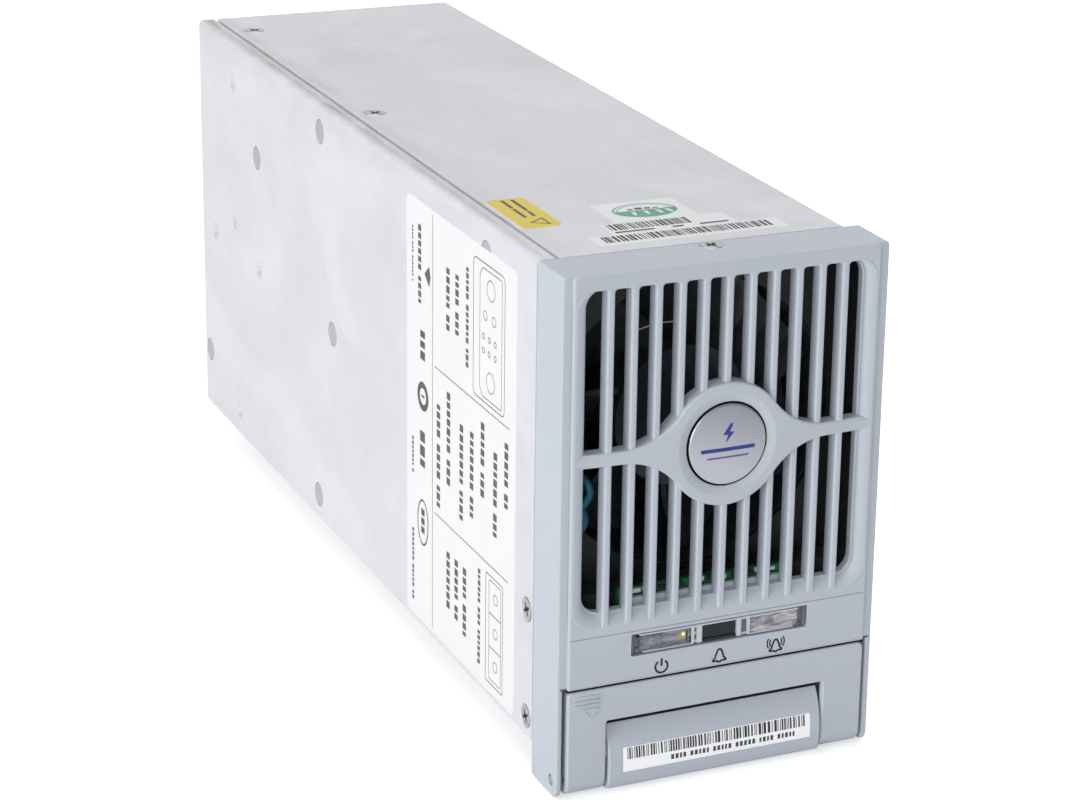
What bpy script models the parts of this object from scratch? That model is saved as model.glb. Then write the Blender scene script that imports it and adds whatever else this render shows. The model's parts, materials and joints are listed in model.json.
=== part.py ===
"""Plug-in 3U telecom power module with a flip-down handle, a latch and a front fan.

The design is written in millimetres: x to the right, y to the back with 0 at
the front face of the side cheeks, z up with 0 at the lower edge of the bezel.
place() moves it so that the origin is the bottom centre of the whole object.
Each separate physical piece is one object; helpers that shape them are hidden.
"""
import math

import bmesh
import bpy
from mathutils import Matrix, Vector

# ------------------------------------------------------------ shared sizes
MM = 0.001
GAP = 0.3                      # clearance between neighbouring pieces
SIDES = ((-1, "l"), (1, "r"))  # sign of x and name tag of each side

BEZEL_W, BEZEL_H, BEZEL_D = 85.3, 132.0, 15.2
HALF_W = BEZEL_W / 2
FACE_Y = -0.8                  # front of the raised plate and of the handle

Y_FRONT = -1.9                 # foremost point: the badge ring
Y_BACK = 285.1                 # rearmost point: the connector housings
Y_MID = (Y_FRONT + Y_BACK) / 2

CASE_X = CASE_LEFT, CASE_RIGHT = (-HALF_W, 39.0)
CASE_Z = CASE_BOTTOM, CASE_TOP = (8.1, 132.0)
CASE_Y = (15.5, 281.0)
SHEET = 1.0                    # case sheet thickness

HANDLE_TOP = 28.0
PIVOT = PIVOT_Y, PIVOT_Z = (3.2, 4.2)

FAN_X, FAN_Z = FAN_CENTRE = (-1.8, 86.8)
DC_X, DC_Z = (-28.0, -12.0), (78.0, 122.0)
AC_X, AC_Z = (-27.0, -13.0), (18.0, 56.0)


# ------------------------------------------------------ scene and materials
for old in list(bpy.data.objects):
    bpy.data.objects.remove(old)
PARTS = bpy.data.collections.new("power_module")
CUTTERS = bpy.data.collections.new("cutters")
for collection in (PARTS, CUTTERS):
    bpy.context.scene.collection.children.link(collection)


def material(name, colour, roughness, metallic=0.0, alpha=1.0):
    result = bpy.data.materials.new(name)
    result.use_nodes = True
    inputs = result.node_tree.nodes["Principled BSDF"].inputs
    inputs["Base Color"].default_value = (*colour, 1)
    inputs["Roughness"].default_value = roughness
    inputs["Metallic"].default_value = metallic
    inputs["Alpha"].default_value = alpha
    result.diffuse_color = (*colour, alpha)
    return result


BEZEL = material("bezel_plastic", colour=(0.49, 0.53, 0.58), roughness=0.5)
SILVER = material("badge_silver", colour=(0.75, 0.75, 0.77), roughness=0.3, metallic=1.0)
CASE = material("galvanised_sheet", colour=(0.72, 0.72, 0.74), roughness=0.42, metallic=0.8)
CLEAR = material("clear_lens", colour=(0.85, 0.87, 0.9), roughness=0.1, alpha=0.4)
BLACK = material("black_plastic", colour=(0.02, 0.02, 0.022), roughness=0.45)
STEEL = material("bright_steel", colour=(0.7, 0.7, 0.7), roughness=0.25, metallic=1.0)
ALU = material("heatsink_aluminium", colour=(0.62, 0.63, 0.65), roughness=0.4, metallic=1.0)
PCB = material("circuit_board", colour=(0.02, 0.16, 0.07), roughness=0.5)
FERRITE = material("ferrite", colour=(0.05, 0.05, 0.055), roughness=0.7)
COPPER = material("copper_winding", colour=(0.6, 0.25, 0.1), roughness=0.35, metallic=1.0)
TAPE = material("yellow_tape", colour=(0.75, 0.6, 0.05), roughness=0.5)
CAP_SLEEVE = material("capacitor_sleeve", colour=(0.03, 0.04, 0.09), roughness=0.4)
CABLE = material("teal_sleeve", colour=(0.03, 0.32, 0.38), roughness=0.5)
FILM = material("insulation_film", colour=(0.8, 0.78, 0.7), roughness=0.5)
GREEN = material("led_green", colour=(0.1, 0.6, 0.15), roughness=0.3)
AMBER = material("led_yellow", colour=(0.85, 0.6, 0.05), roughness=0.3)
RED = material("led_red", colour=(0.7, 0.04, 0.03), roughness=0.3)
CERAMIC = material("ceramic_white", colour=(0.8, 0.8, 0.78), roughness=0.5)


# ---------------------------------------------------------- making objects
def place(x, y, z):
    """A design point in scene coordinates."""
    return Vector((x * MM, (y - Y_MID) * MM, z * MM))


def register(obj, mat=None):
    """File an object: a part when it has a material, otherwise a hidden helper."""
    if mat:
        PARTS.objects.link(obj)
        obj.data.materials.clear()
        obj.data.materials.append(mat)
    else:
        CUTTERS.objects.link(obj)
        obj.hide_render = True
        obj.display_type = "WIRE"
    return obj


def mesh_object(name, bm, mat=None):
    bmesh.ops.recalc_face_normals(bm, faces=bm.faces)
    mesh = bpy.data.meshes.new(name)
    bm.to_mesh(mesh)
    bm.free()
    return register(bpy.data.objects.new(name, mesh), mat)


def box(name, x, y, z, mat=None):
    """A block between the pairs x, y and z."""
    bm = bmesh.new()
    bmesh.ops.create_cube(bm, size=1.0)
    size = Vector((x[1] - x[0], y[1] - y[0], z[1] - z[0])) * MM
    bmesh.ops.scale(bm, vec=size, verts=bm.verts)
    obj = mesh_object(name, bm, mat)
    obj.location = place(sum(x) / 2, sum(y) / 2, sum(z) / 2)
    return obj


# rotations that lay a rod's z axis along the named axis
ROD_TURN = {
    "x": Matrix.Rotation(math.pi / 2, 3, "Y"),
    "y": Matrix.Rotation(-math.pi / 2, 3, "X"),
    "z": Matrix.Identity(3),
}


def rod(name, axis, at, radius, span, mat=None, sides=20, end_radius=None):
    """A round bar along an axis.

    at holds the two other coordinates, span the two ends, and end_radius the
    radius at the second end where it differs.
    """
    bm = bmesh.new()
    bmesh.ops.create_cone(
        bm, cap_ends=True, segments=sides, radius1=radius * MM,
        radius2=(radius if end_radius is None else end_radius) * MM,
        depth=(span[1] - span[0]) * MM,
    )
    bmesh.ops.rotate(bm, cent=(0, 0, 0), matrix=ROD_TURN[axis], verts=bm.verts)
    obj = mesh_object(name, bm, mat)
    centre = list(at)
    centre.insert("xyz".index(axis), sum(span) / 2)
    obj.location = place(*centre)
    if sides >= 12:
        obj.data.shade_smooth()
        obj.data.set_sharp_from_angle(angle=math.radians(40))
    return obj


# rotations that carry a flat outline's plane square to the named axis
OUTLINE_TURN = {
    "x": Matrix(((0, 0, 1, 0), (1, 0, 0, 0), (0, 1, 0, 0), (0, 0, 0, 1))),
    "y": Matrix(((1, 0, 0, 0), (0, 0, -1, 0), (0, 1, 0, 0), (0, 0, 0, 1))),
}


def outline(name, axis, loops, span, mat=None):
    """A flat outline, with holes, extruded along axis. Loops hold (x, z) for y, (y, z) for x."""
    curve = bpy.data.curves.new(name, "CURVE")
    curve.dimensions, curve.fill_mode = "2D", "BOTH"
    curve.extrude = (span[1] - span[0]) / 2 * MM
    shift = Y_MID if axis == "x" else 0
    for loop in loops:
        spline = curve.splines.new("POLY")
        spline.points.add(len(loop) - 1)
        for point, (across, up) in zip(spline.points, loop):
            point.co = ((across - shift) * MM, up * MM, 0, 1)
        spline.use_cyclic_u = True
    guide = bpy.data.objects.new(name + "_curve", curve)
    CUTTERS.objects.link(guide)
    middle = sum(span) / 2
    centre = (middle * MM, 0, 0) if axis == "x" else (0, (middle - Y_MID) * MM, 0)
    guide.matrix_world = Matrix.Translation(centre) @ OUTLINE_TURN[axis]
    bpy.context.view_layer.update()
    graph = bpy.context.evaluated_depsgraph_get()
    mesh = bpy.data.meshes.new_from_object(guide.evaluated_get(graph))
    mesh.name = name
    bm = bmesh.new()
    bm.from_mesh(mesh)
    bmesh.ops.remove_doubles(bm, verts=bm.verts, dist=1e-6)
    bmesh.ops.recalc_face_normals(bm, faces=bm.faces)
    bm.to_mesh(mesh)
    bm.free()
    obj = bpy.data.objects.new(name, mesh)
    obj.matrix_world = guide.matrix_world.copy()
    bpy.data.objects.remove(guide)
    return register(obj, mat)


def round_wire(name, radius, resolution):
    """An empty curve with a round section and closed ends."""
    curve = bpy.data.curves.new(name, "CURVE")
    curve.dimensions, curve.use_fill_caps = "3D", True
    curve.bevel_depth, curve.bevel_resolution = radius * MM, resolution
    return curve


def joined(name, objects):
    """Helper bodies that don't touch, as one cutter."""
    bm = bmesh.new()
    bpy.context.view_layer.update()
    for obj in objects:
        piece = obj.data.copy()
        piece.transform(obj.matrix_world)
        bm.from_mesh(piece)
        bpy.data.meshes.remove(piece)
        bpy.data.objects.remove(obj)
    return mesh_object(name, bm)


def boolean(obj, others, operation):
    for other in others:
        modifier = obj.modifiers.new(operation.lower() + "_" + other.name, "BOOLEAN")
        modifier.operation, modifier.object, modifier.solver = operation, other, "EXACT"
    return obj


def cut(obj, *others):
    return boolean(obj, others, "DIFFERENCE")


def add(obj, *others):
    return boolean(obj, others, "UNION")


def bevel(obj, name, width):
    modifier = obj.modifiers.new(name, "BEVEL")
    modifier.width, modifier.segments = width * MM, 1
    return modifier


# ---------------------------------------------------------- spans and loops
def shrink(span, margin):
    return span[0] + margin, span[1] - margin


def side_span(side, near, far):
    """The x span between two distances from the middle, on one side."""
    return sorted((side * near, side * far))


def circle(across, up, radius, count):
    angles = [2 * math.pi * i / count for i in range(count)]
    return [(across + radius * math.cos(t), up + radius * math.sin(t)) for t in angles]


def arc(across, up, radius, start, end, steps):
    """Points of an arc, both ends included; angles in degrees."""
    angles = [math.radians(start + (end - start) * i / steps) for i in range(steps + 1)]
    return [(across + radius * math.cos(t), up + radius * math.sin(t)) for t in angles]


def rectangle(across, up):
    return [(across[0], up[0]), (across[1], up[0]), (across[1], up[1]), (across[0], up[1])]


def rounded(across, up, radius, steps):
    """A rectangle with rounded corners."""
    (left, right), (low, high) = shrink(across, radius), shrink(up, radius)
    corners = ((left, low, 180), (right, low, 270), (right, high, 0), (left, high, 90))
    points = []
    for x, z, start in corners:
        points += arc(x, z, radius, start, start + 90, steps)
    return points


# ------------------------------------------------------------------ screws
HEAD_R, HEAD_H, SHANK_R = 2.8, 1.6, 1.2
HEAD_CLEARANCE = 0.6           # how far the cutting cone runs out past the face
COVER_SCREWS_Y = (262.8, 156.9)
TOP_SCREW_X = -30.7
LOW_SCREW_X = CASE_LEFT + CASE_RIGHT - TOP_SCREW_X
SIDE_SCREWS = ((19.4, 42.3), (19.4, 13.9))   # (y, z)
BEZEL_SCREW = (1.0, 12.6)                    # (x, y)


def screw(name, axis, at, face, sign, length):
    """A countersunk screw. face is the level of its flush head, sign the way its shank points."""
    ends = sorted((face, face + sign * HEAD_H))
    radii = (HEAD_R, SHANK_R) if sign > 0 else (SHANK_R, HEAD_R)
    body = rod(name, axis, at, radii[0], ends, STEEL, 16, radii[1])
    shank_span = sorted((face + sign * HEAD_H * 0.6, face + sign * length))
    add(body, rod(name + "_shank", axis, at, SHANK_R * 0.98, shank_span, sides=16))


def screw_hole(name, axis, at, face, sign, length):
    """The clearance for such a screw: a cone for the head and a bore for the shank."""
    slope = (HEAD_R - SHANK_R) / HEAD_H
    ends = sorted((face - sign * HEAD_CLEARANCE, face + sign * HEAD_H))
    wide, narrow = HEAD_R + GAP + slope * HEAD_CLEARANCE, SHANK_R + GAP
    radii = (wide, narrow) if sign > 0 else (narrow, wide)
    cone = rod(name + "_cone", axis, at, radii[0], ends, sides=16, end_radius=radii[1])
    bore_span = sorted((face + sign * HEAD_H * 0.5, face + sign * length))
    return add(cone, rod(name + "_bore", axis, at, narrow - 0.03, bore_span, sides=16))


# -------------------------------------------------------- sheet-metal case
INNER_X = shrink(CASE_X, 1.3)  # width of the pieces that fit inside the case
CHAMFER = 1.2
INNER_CHAMFER = CHAMFER + 0.5
VENT_ROWS, VENT_PITCH = 17, 6.2
VENT_Z = (17.5, 20.7)          # lowest row
VENT_COLUMNS = ((-7, 12), (15, 33.5))
OPENING_Y = (278.0, 283.0)


def case_profile():
    """Section of the base: floor, left wall and a flange stepped down under the cover."""
    left, low, top = CASE_LEFT, CASE_BOTTOM, CASE_TOP
    step = top - SHEET - GAP
    return [
        (CASE_RIGHT - 6.0, low), (left + CHAMFER, low), (left, low + CHAMFER),
        (left, top - CHAMFER), (left + CHAMFER, top), (left + 4.5, top),
        (left + 5.7, step), (left + 15.6, step),
        (left + 15.6, step - SHEET), (left + 5.2, step - SHEET),
        (left + 4.0, top - SHEET), (left + INNER_CHAMFER, top - SHEET),
        (left + SHEET, top - INNER_CHAMFER), (left + SHEET, low + INNER_CHAMFER),
        (left + INNER_CHAMFER, low + SHEET), (CASE_RIGHT - 6.0, low + SHEET),
    ]


def build_case(left_holes, right_holes):
    """Base and cover with their screws. The cover is the base turned half round."""
    profile = case_profile()
    turned = [(sum(CASE_X) - x, sum(CASE_Z) - z) for x, z in profile]
    base = outline("chassis_base", "y", [profile], CASE_Y, CASE)
    cover = outline("chassis_cover", "y", [turned], CASE_Y, CASE)
    for i, y in enumerate(COVER_SCREWS_Y):
        for short, word, x, face, sign in (
            ("top", "top", TOP_SCREW_X, CASE_TOP, -1),
            ("low", "bottom", LOW_SCREW_X, CASE_BOTTOM, 1),
        ):
            hole = screw_hole(f"{short}_hole_{i}", "z", (x, y), face, sign, length=7)
            cut(base, hole)
            cut(cover, hole)
            screw(f"cover_screw_{word}_{i + 1}", "z", (x, y), face, sign, length=5.5)
    cut(base, *left_holes)
    cut(cover, *right_holes)
    for i, at in enumerate(SIDE_SCREWS):
        screw(f"side_screw_left_{i + 1}", "x", at, CASE_LEFT, 1, length=3.6)
        screw(f"side_screw_right_{i + 1}", "x", at, CASE_RIGHT, -1, length=3.6)
    return base, cover


def build_rear_panel():
    """A shallow pan with vents and two connector openings."""
    openings = [
        box("dc_opening", shrink(DC_X, -0.5), OPENING_Y, shrink(DC_Z, -0.5)),
        box("ac_opening", shrink(AC_X, -0.5), OPENING_Y, shrink(AC_Z, -0.5)),
    ]
    for row in range(VENT_ROWS):
        vent_z = [z + VENT_PITCH * row for z in VENT_Z]
        openings += [box(f"vent_{row}_{k}", x, OPENING_Y, vent_z)
                     for k, x in enumerate(VENT_COLUMNS)]
    panel_loop = rounded(INNER_X, shrink(CASE_Z, 2.6), 1.0, 2)
    rear = outline("rear_panel", "y", [panel_loop], (279.6, 280.7), CASE)
    flange_y, flange_z = (270.0, 280.0), shrink(CASE_Z, 6)
    add(
        rear,
        box("rear_flange_l", (CASE_LEFT + 1.35, CASE_LEFT + 2.3), flange_y, flange_z),
        box("rear_flange_r", (CASE_RIGHT - 2.3, CASE_RIGHT - 1.35), flange_y, flange_z),
    )
    cut(rear, joined("rear_openings", openings))


def build_bracket(side_holes, bezel_hole):
    """Front bracket that carries the fan and takes the bezel and side screws."""
    left, right = INNER_X
    foot, arch, top = 11.0, 31.0, 129.2
    frame = [
        (left, foot), (left + 3.2, foot), (left + 3.2, arch), (right - 2.6, arch),
        (right - 2.6, foot), (right, foot), (right, top), (left, top),
    ]
    loops = [frame, circle(*FAN_CENTRE, 37.6, 40)]
    bracket = outline("fan_bracket", "y", loops, (16.0, 17.1), CASE)
    tab_y, tab_z = (16.5, 25.0), (foot + 0.05, 46.0)
    add(
        bracket,
        box("bracket_top", (-22, 24), (6.0, 16.5), (128.2, top - 0.05)),
        box("bracket_side_l", (left + 0.05, left + 1.0), tab_y, tab_z),
        box("bracket_side_r", (right - 1.0, right - 0.05), tab_y, tab_z),
    )
    cut(bracket, *side_holes, bezel_hole)
    screw("bezel_screw", "z", BEZEL_SCREW, CASE_TOP, -1, length=5.0)


# ------------------------------------------------------------- front bezel
CHEEK = 1.6                    # bezel side wall
PLATE_BACK = 2.7               # back of the front plate
FACE_HALF = 40.2
BAR_PITCH, BAR_W = 6.15, 1.96
SLOT_EDGE, SLOT_TOP = 36.4, 128.1
SILL_MID, SILL_END = 46.9, 45.6
TOP_CORNER_R, SILL_CORNER_R = 3.0, 2.2
EYE_Z, EYE_R, EYE_BAND, EYE_FILLET = 86.5, 15.5, 1.7, 18.0
EYE_INSET = 0.15               # how far the raised band stays inside the slot edges
BADGE_R = 10.6
# closed section of the finger scoop: (y, z)
SCOOP = [
    (7.4, 25.0), (6.0, 23.4), (4.6, 21.3), (2.5, 18.2), (0.8, 15.4), (-0.4, 12.6),
    (-1.1, 9.8), (-1.35, 7.0), (-1.2, 4.4), (-0.5, 2.4), (0.7, 1.2), (2.2, 0.8),
    (14.6, 0.8), (14.6, 2.4), (2.6, 2.4), (1.5, 2.9), (0.8, 4.6), (0.65, 7.0),
    (0.85, 9.4), (1.5, 11.8), (2.6, 14.4), (4.2, 17.1), (7.4, 21.8),
]


def eye(x):
    """Half height of the raised band, which flares into the ring round the badge."""
    x = abs(x)
    flare_end = math.sqrt((EYE_R + EYE_FILLET) ** 2 - (EYE_BAND + EYE_FILLET) ** 2)
    if x < flare_end * EYE_R / (EYE_R + EYE_FILLET):
        return math.sqrt(EYE_R**2 - x * x)
    if x < flare_end:
        return EYE_BAND + EYE_FILLET - math.sqrt(EYE_FILLET**2 - (flare_end - x) ** 2)
    return EYE_BAND


def slot_loops():
    """Each gap between bars as two loops, one above and one below the raised band."""
    loops = []
    top, low = SLOT_TOP - TOP_CORNER_R, SILL_END + SILL_CORNER_R
    for k in range(-6, 6):
        first, last = k == -6, k == 5
        left = -SLOT_EDGE if first else k * BAR_PITCH + BAR_W / 2
        right = SLOT_EDGE if last else (k + 1) * BAR_PITCH - BAR_W / 2
        outer = abs((left + right) / 2) > 25   # beyond the flare of the band
        steps = 1 if outer else 4
        sill = SILL_END if outer else SILL_MID
        stations = [left + (right - left) * i / steps for i in range(steps + 1)]
        above = [(x, EYE_Z + eye(x)) for x in stations]
        below = [(x, EYE_Z - eye(x)) for x in reversed(stations)]
        top_left, top_right = [(left, SLOT_TOP)], [(right, SLOT_TOP)]
        low_left, low_right = [(left, sill)], [(right, sill)]
        if first:
            top_left = arc(left + TOP_CORNER_R, top, TOP_CORNER_R, 90, 180, 4)
            low_left = arc(left + SILL_CORNER_R, low, SILL_CORNER_R, 180, 270, 4)
        if last:
            top_right = arc(right - TOP_CORNER_R, top, TOP_CORNER_R, 0, 90, 4)
            low_right = arc(right - SILL_CORNER_R, low, SILL_CORNER_R, 270, 360, 4)
        loops += [above + top_right + top_left, low_left + low_right + below]
    return loops


def shell_profile():
    """The two cheeks and the top wall, open at the bottom."""
    left = [
        (-HALF_W, BEZEL_H - 0.8), (-HALF_W, 3.0), (-HALF_W + 0.9, 0.4),
        (-HALF_W + CHEEK, 0.0), (-HALF_W + CHEEK, BEZEL_H - 2.3),
    ]
    right = [(-x, z) for x, z in reversed(left)]
    lid = [(HALF_W - 0.8, BEZEL_H), (-HALF_W + 0.8, BEZEL_H)]
    return left[1:] + right + lid + left[:1]


def eye_profile():
    stations = [-37.2] + [-27.0 + 54.0 * i / 36 for i in range(37)] + [37.2]
    lower = [(x, EYE_Z - eye(x) + EYE_INSET) for x in stations]
    return lower + [(x, EYE_Z + eye(x) - EYE_INSET) for x in reversed(stations)]


def build_bezel(hinge_bore, bezel_hole):
    bezel = outline("front_bezel", "y", [shell_profile()], (0.0, BEZEL_D), BEZEL)
    plate = rectangle((-HALF_W + 1.0, HALF_W - 1.0), (HANDLE_TOP + 0.4, BEZEL_H - 1.0))
    raised = rectangle((-FACE_HALF, FACE_HALF), (HANDLE_TOP + 0.45, BEZEL_H - 0.2))
    add(
        bezel,
        outline("bezel_plate", "y", [plate], (0.1, PLATE_BACK)),
        outline("bezel_raised", "y", [raised], (FACE_Y, 1.5)),
        box("handle_pocket", (-41.6, 41.6), (6.2, 8.2), (12.9, 29.4)),
        box("handle_pocket_low", (-30.6, 30.6), (6.25, 8.15), (9.6, 14.5)),
        box("pocket_ceiling", (-41.5, 41.5), (1.0, 8.1), (HANDLE_TOP + 0.5, 30.6)),
        outline("finger_scoop", "x", [SCOOP], (-28.9, 28.9)),
    )
    cut(bezel, box("dish_cut", (-37.8, 37.8), (FACE_Y - 1, FACE_Y + 0.6), (44.3, 130.0)))
    add(
        bezel,
        outline("bezel_eye", "y", [eye_profile()], (-1.3, 1.0)),
        rod("badge_ring", "y", (0, EYE_Z), 15.0, (Y_FRONT, 1.0), sides=40),
    )
    cut(
        bezel,
        outline("slot_cut", "y", slot_loops(), (-3.0, 4.0)),
        rod("badge_seat", "y", (0, EYE_Z), BADGE_R + GAP, (-4.0, -0.2), sides=40),
        box("led_window_cut", (-23.7, 23.7), (-3, 4), (35.1, 40.6)),
        hinge_bore,
        bezel_hole,
    )
    rod("badge_disc", "y", (0, EYE_Z), BADGE_R, (-1.4, -0.5), SILVER, 40)


def build_indicators():
    """Light pipe in the bezel window, with the LEDs and their board behind it."""
    pipe = box("light_pipe", (-23.4, 23.4), (-0.6, 3.6), (35.4, 40.3), CLEAR)
    add(pipe, box("lens_flange", (-25.6, 25.6), (3.0, 4.1), (33.4, 42.3)))
    box("led_board", (-25.0, 19.5), (5.2, 6.8), (31.2, 50.4), PCB)
    for name, x, mat in (("led_green", -15.7, GREEN), ("led_yellow", 0.0, AMBER),
                         ("led_red", 15.7, RED)):
        box(name, (x - 1.7, x + 1.7), (4.4, 4.9), (36.8, 38.9), mat)


# -------------------------------------------------------- flip-down handle
HANDLE_HALF = 39.9
OPENING_HALF, OPENING_TOP = 29.4, 18.5
SKIN = 2.0
SKIN_R = PIVOT_Y - FACE_Y      # the skin wraps round the pivot
WALL_BACK = 5.0
PEG_ORBIT, PEG_DEG = 5.0, -20.0  # lifting peg: radius from the pivot and rest angle
ARM_HALF = 1.6


def arm_and_peg(side, tag, span):
    """The short arm from the pivot to the lifting peg, and the peg."""
    dir_y, dir_z = math.cos(math.radians(PEG_DEG)), math.sin(math.radians(PEG_DEG))
    peg_y, peg_z = PIVOT_Y + PEG_ORBIT * dir_y, PIVOT_Z + PEG_ORBIT * dir_z
    off_y, off_z = ARM_HALF * dir_y, ARM_HALF * dir_z
    loop = [
        (PIVOT_Y - off_z, PIVOT_Z + off_y), (PIVOT_Y + off_z, PIVOT_Z - off_y),
        (peg_y + off_z, peg_z - off_y), (peg_y + off_y * 0.8, peg_z + off_z * 0.8),
        (peg_y - off_z, peg_z + off_y),
    ]
    arm = outline("handle_arm_" + tag, "x", [loop], span)
    peg_span = side_span(side, 31.5, 38.6)
    return arm, rod("handle_peg_" + tag, "x", (peg_y, peg_z), 1.2, peg_span, sides=16)


def build_handle(hinge_bore):
    """The closed handle and its hinge pins, with an empty on the hinge axis as its parent."""
    inner = arc(*PIVOT, SKIN_R - SKIN, 180, 262, 4)
    profile = [(FACE_Y, HANDLE_TOP)] + arc(*PIVOT, SKIN_R, 180, 262, 6)
    profile += inner[::-1] + [(FACE_Y + SKIN, HANDLE_TOP)]
    width = (-HANDLE_HALF, HANDLE_HALF)
    handle = outline("handle", "x", [profile], width, BEZEL)
    cut(handle, box("handle_opening", (-OPENING_HALF, OPENING_HALF), (-4, 9), (-3, OPENING_TOP)))
    add(handle, box("handle_top_wall", shrink(width, 0.05), (FACE_Y + 0.5, WALL_BACK),
                    (HANDLE_TOP - 1.8, HANDLE_TOP - 0.02)))
    for side, tag in SIDES:
        span = side_span(side, HANDLE_HALF - 0.1, HANDLE_HALF - 2.4)
        add(
            handle,
            box("handle_side_" + tag, span, (FACE_Y + 0.4, WALL_BACK), (PIVOT_Z, HANDLE_TOP - 0.1)),
            rod("handle_lug_" + tag, "x", PIVOT, 3.85, shrink(span, -0.05), sides=24),
            *arm_and_peg(side, tag, span),
        )
        pin_name = "hinge_pin_" + ("left" if side < 0 else "right")
        rod(pin_name, "x", PIVOT, 1.2, side_span(side, 42.25, 37.2), STEEL, 16)
    cut(handle, hinge_bore)

    hinge = bpy.data.objects.new("handle_pivot", None)
    hinge.location = place(0, *PIVOT)
    PARTS.objects.link(hinge)
    bpy.context.view_layer.update()
    handle.parent = hinge
    handle.matrix_parent_inverse = hinge.matrix_world.inverted()


# ------------------------------------------------------------------- latch
LATCH_Y = 22.0
LATCH_Z = (12.5, 14.0)         # underside and top of the slider
PIN_X, POST_X = 28.0, 17.0
POST_R, POST_TOP = 1.5, 27.2
SPRING_TURNS, SPRING_STEPS = 5, 12
SPRING_R, SPRING_WIRE_R = 2.55, 0.32
SPRING_Z = (LATCH_Z[1] + 0.7, POST_TOP - 0.7)


def build_spring(side, name):
    coil = round_wire(name, SPRING_WIRE_R, 0)
    line = coil.splines.new("POLY")
    count = SPRING_TURNS * SPRING_STEPS
    line.points.add(count)
    low, high = SPRING_Z
    for i, point in enumerate(line.points):
        angle = 2 * math.pi * i / SPRING_STEPS
        x = side * POST_X + SPRING_R * math.cos(angle)
        y = LATCH_Y + SPRING_R * math.sin(angle)
        point.co = (*place(x, y, low + (high - low) * i / count), 1)
    register(bpy.data.objects.new(name, coil), STEEL)


def build_latch(base, cover):
    """Sprung slider that the handle's pegs lift, with two locating pins through the floor."""
    slider = box("latch_slider", (-34.6, 34.6), (18.6, 25.6), LATCH_Z, STEEL)
    bottom = LATCH_Z[0]
    for side, tag in SIDES:
        x = side_span(side, 31.4, 34.6)
        pin_at = (side * PIN_X, LATCH_Y)
        add(
            slider,
            box("slider_arm_" + tag, x, (9.6, 19.0), LATCH_Z),
            box("slider_web_" + tag, shrink(x, 0.02), (9.9, 11.2), (4.8, bottom + 0.8)),
            box("slider_foot_" + tag, shrink(x, 0.04), (4.4, 11.0), (4.7, 5.9)),
            rod("slider_pin_" + tag, "z", pin_at, 2.0, (3.8, bottom + 0.7)),
        )
    cut(slider, joined("post_holes", [
        rod("post_hole_" + tag, "z", (side * POST_X, LATCH_Y), POST_R + GAP, (5, 30), sides=16)
        for side, tag in SIDES]))
    floor_cut = joined("latch_floor_holes", [
        rod("floor_hole_" + tag, "z", (side * PIN_X, LATCH_Y), 2.4, (5, 12))
        for side, tag in SIDES])
    cut(base, floor_cut)
    cut(cover, floor_cut)
    for side, word in ((-1, "left"), (1, "right")):
        at = (side * POST_X, LATCH_Y)
        post = rod("latch_post_" + word, "z", at, POST_R, (9.4, 27.4), STEEL, 16)
        add(post, rod("post_head_" + word, "z", at, 3.1, (POST_TOP, 28.6), sides=16))
        build_spring(side, "latch_spring_" + word)


# --------------------------------------------------------------------- fan
FAN_HALF, FAN_FRONT, FAN_BACK = 39.3, 17.5, 49.5
FAN_BORE_R = 37.2
FAN_HOLE_OFFSET = 35.7
SPOKE_REACH = (16.0, 38.2)     # inner and outer end from the fan axis
BLADES, RADIAL_POINTS, CHORD_POINTS = 7, 4, 5
BLADE_ROOT, BLADE_TIP = 17.3, 36.2
BLADE_Y = 33.0                 # origin of the blade helpers
# centre line of the cable: (x, y, z)
CABLE_PATH = [
    (-38.3, 14.0, 84.0), (-33.6, 11.0, 80.5), (-31.4, 9.0, 76.0), (-34.2, 8.2, 71.5),
    (-38.2, 9.6, 66.5), (-38.6, 11.5, 56.0), (-38.4, 11.5, 44.0), (-37.6, 11.0, 33.2),
]


def fan_rod(name, radius, span, sides, mat=None):
    """A round bar on the fan axis."""
    return rod(name, "y", FAN_CENTRE, radius, span, mat, sides)


def fan_spoke(k):
    """A spoke whose origin is on the fan axis, so that it can be turned about it."""
    spoke = box(f"fan_spoke_{k}", (-1.6, 1.6), (FAN_BACK - 2.9, FAN_BACK - 0.3), SPOKE_REACH)
    spoke.data.transform(Matrix.Translation((0, 0, sum(SPOKE_REACH) / 2 * MM)))
    spoke.location = place(FAN_X, FAN_BACK - 1.6, FAN_Z)
    spoke.rotation_euler = (0, math.radians(45 + 90 * k), 0)
    return spoke


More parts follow.
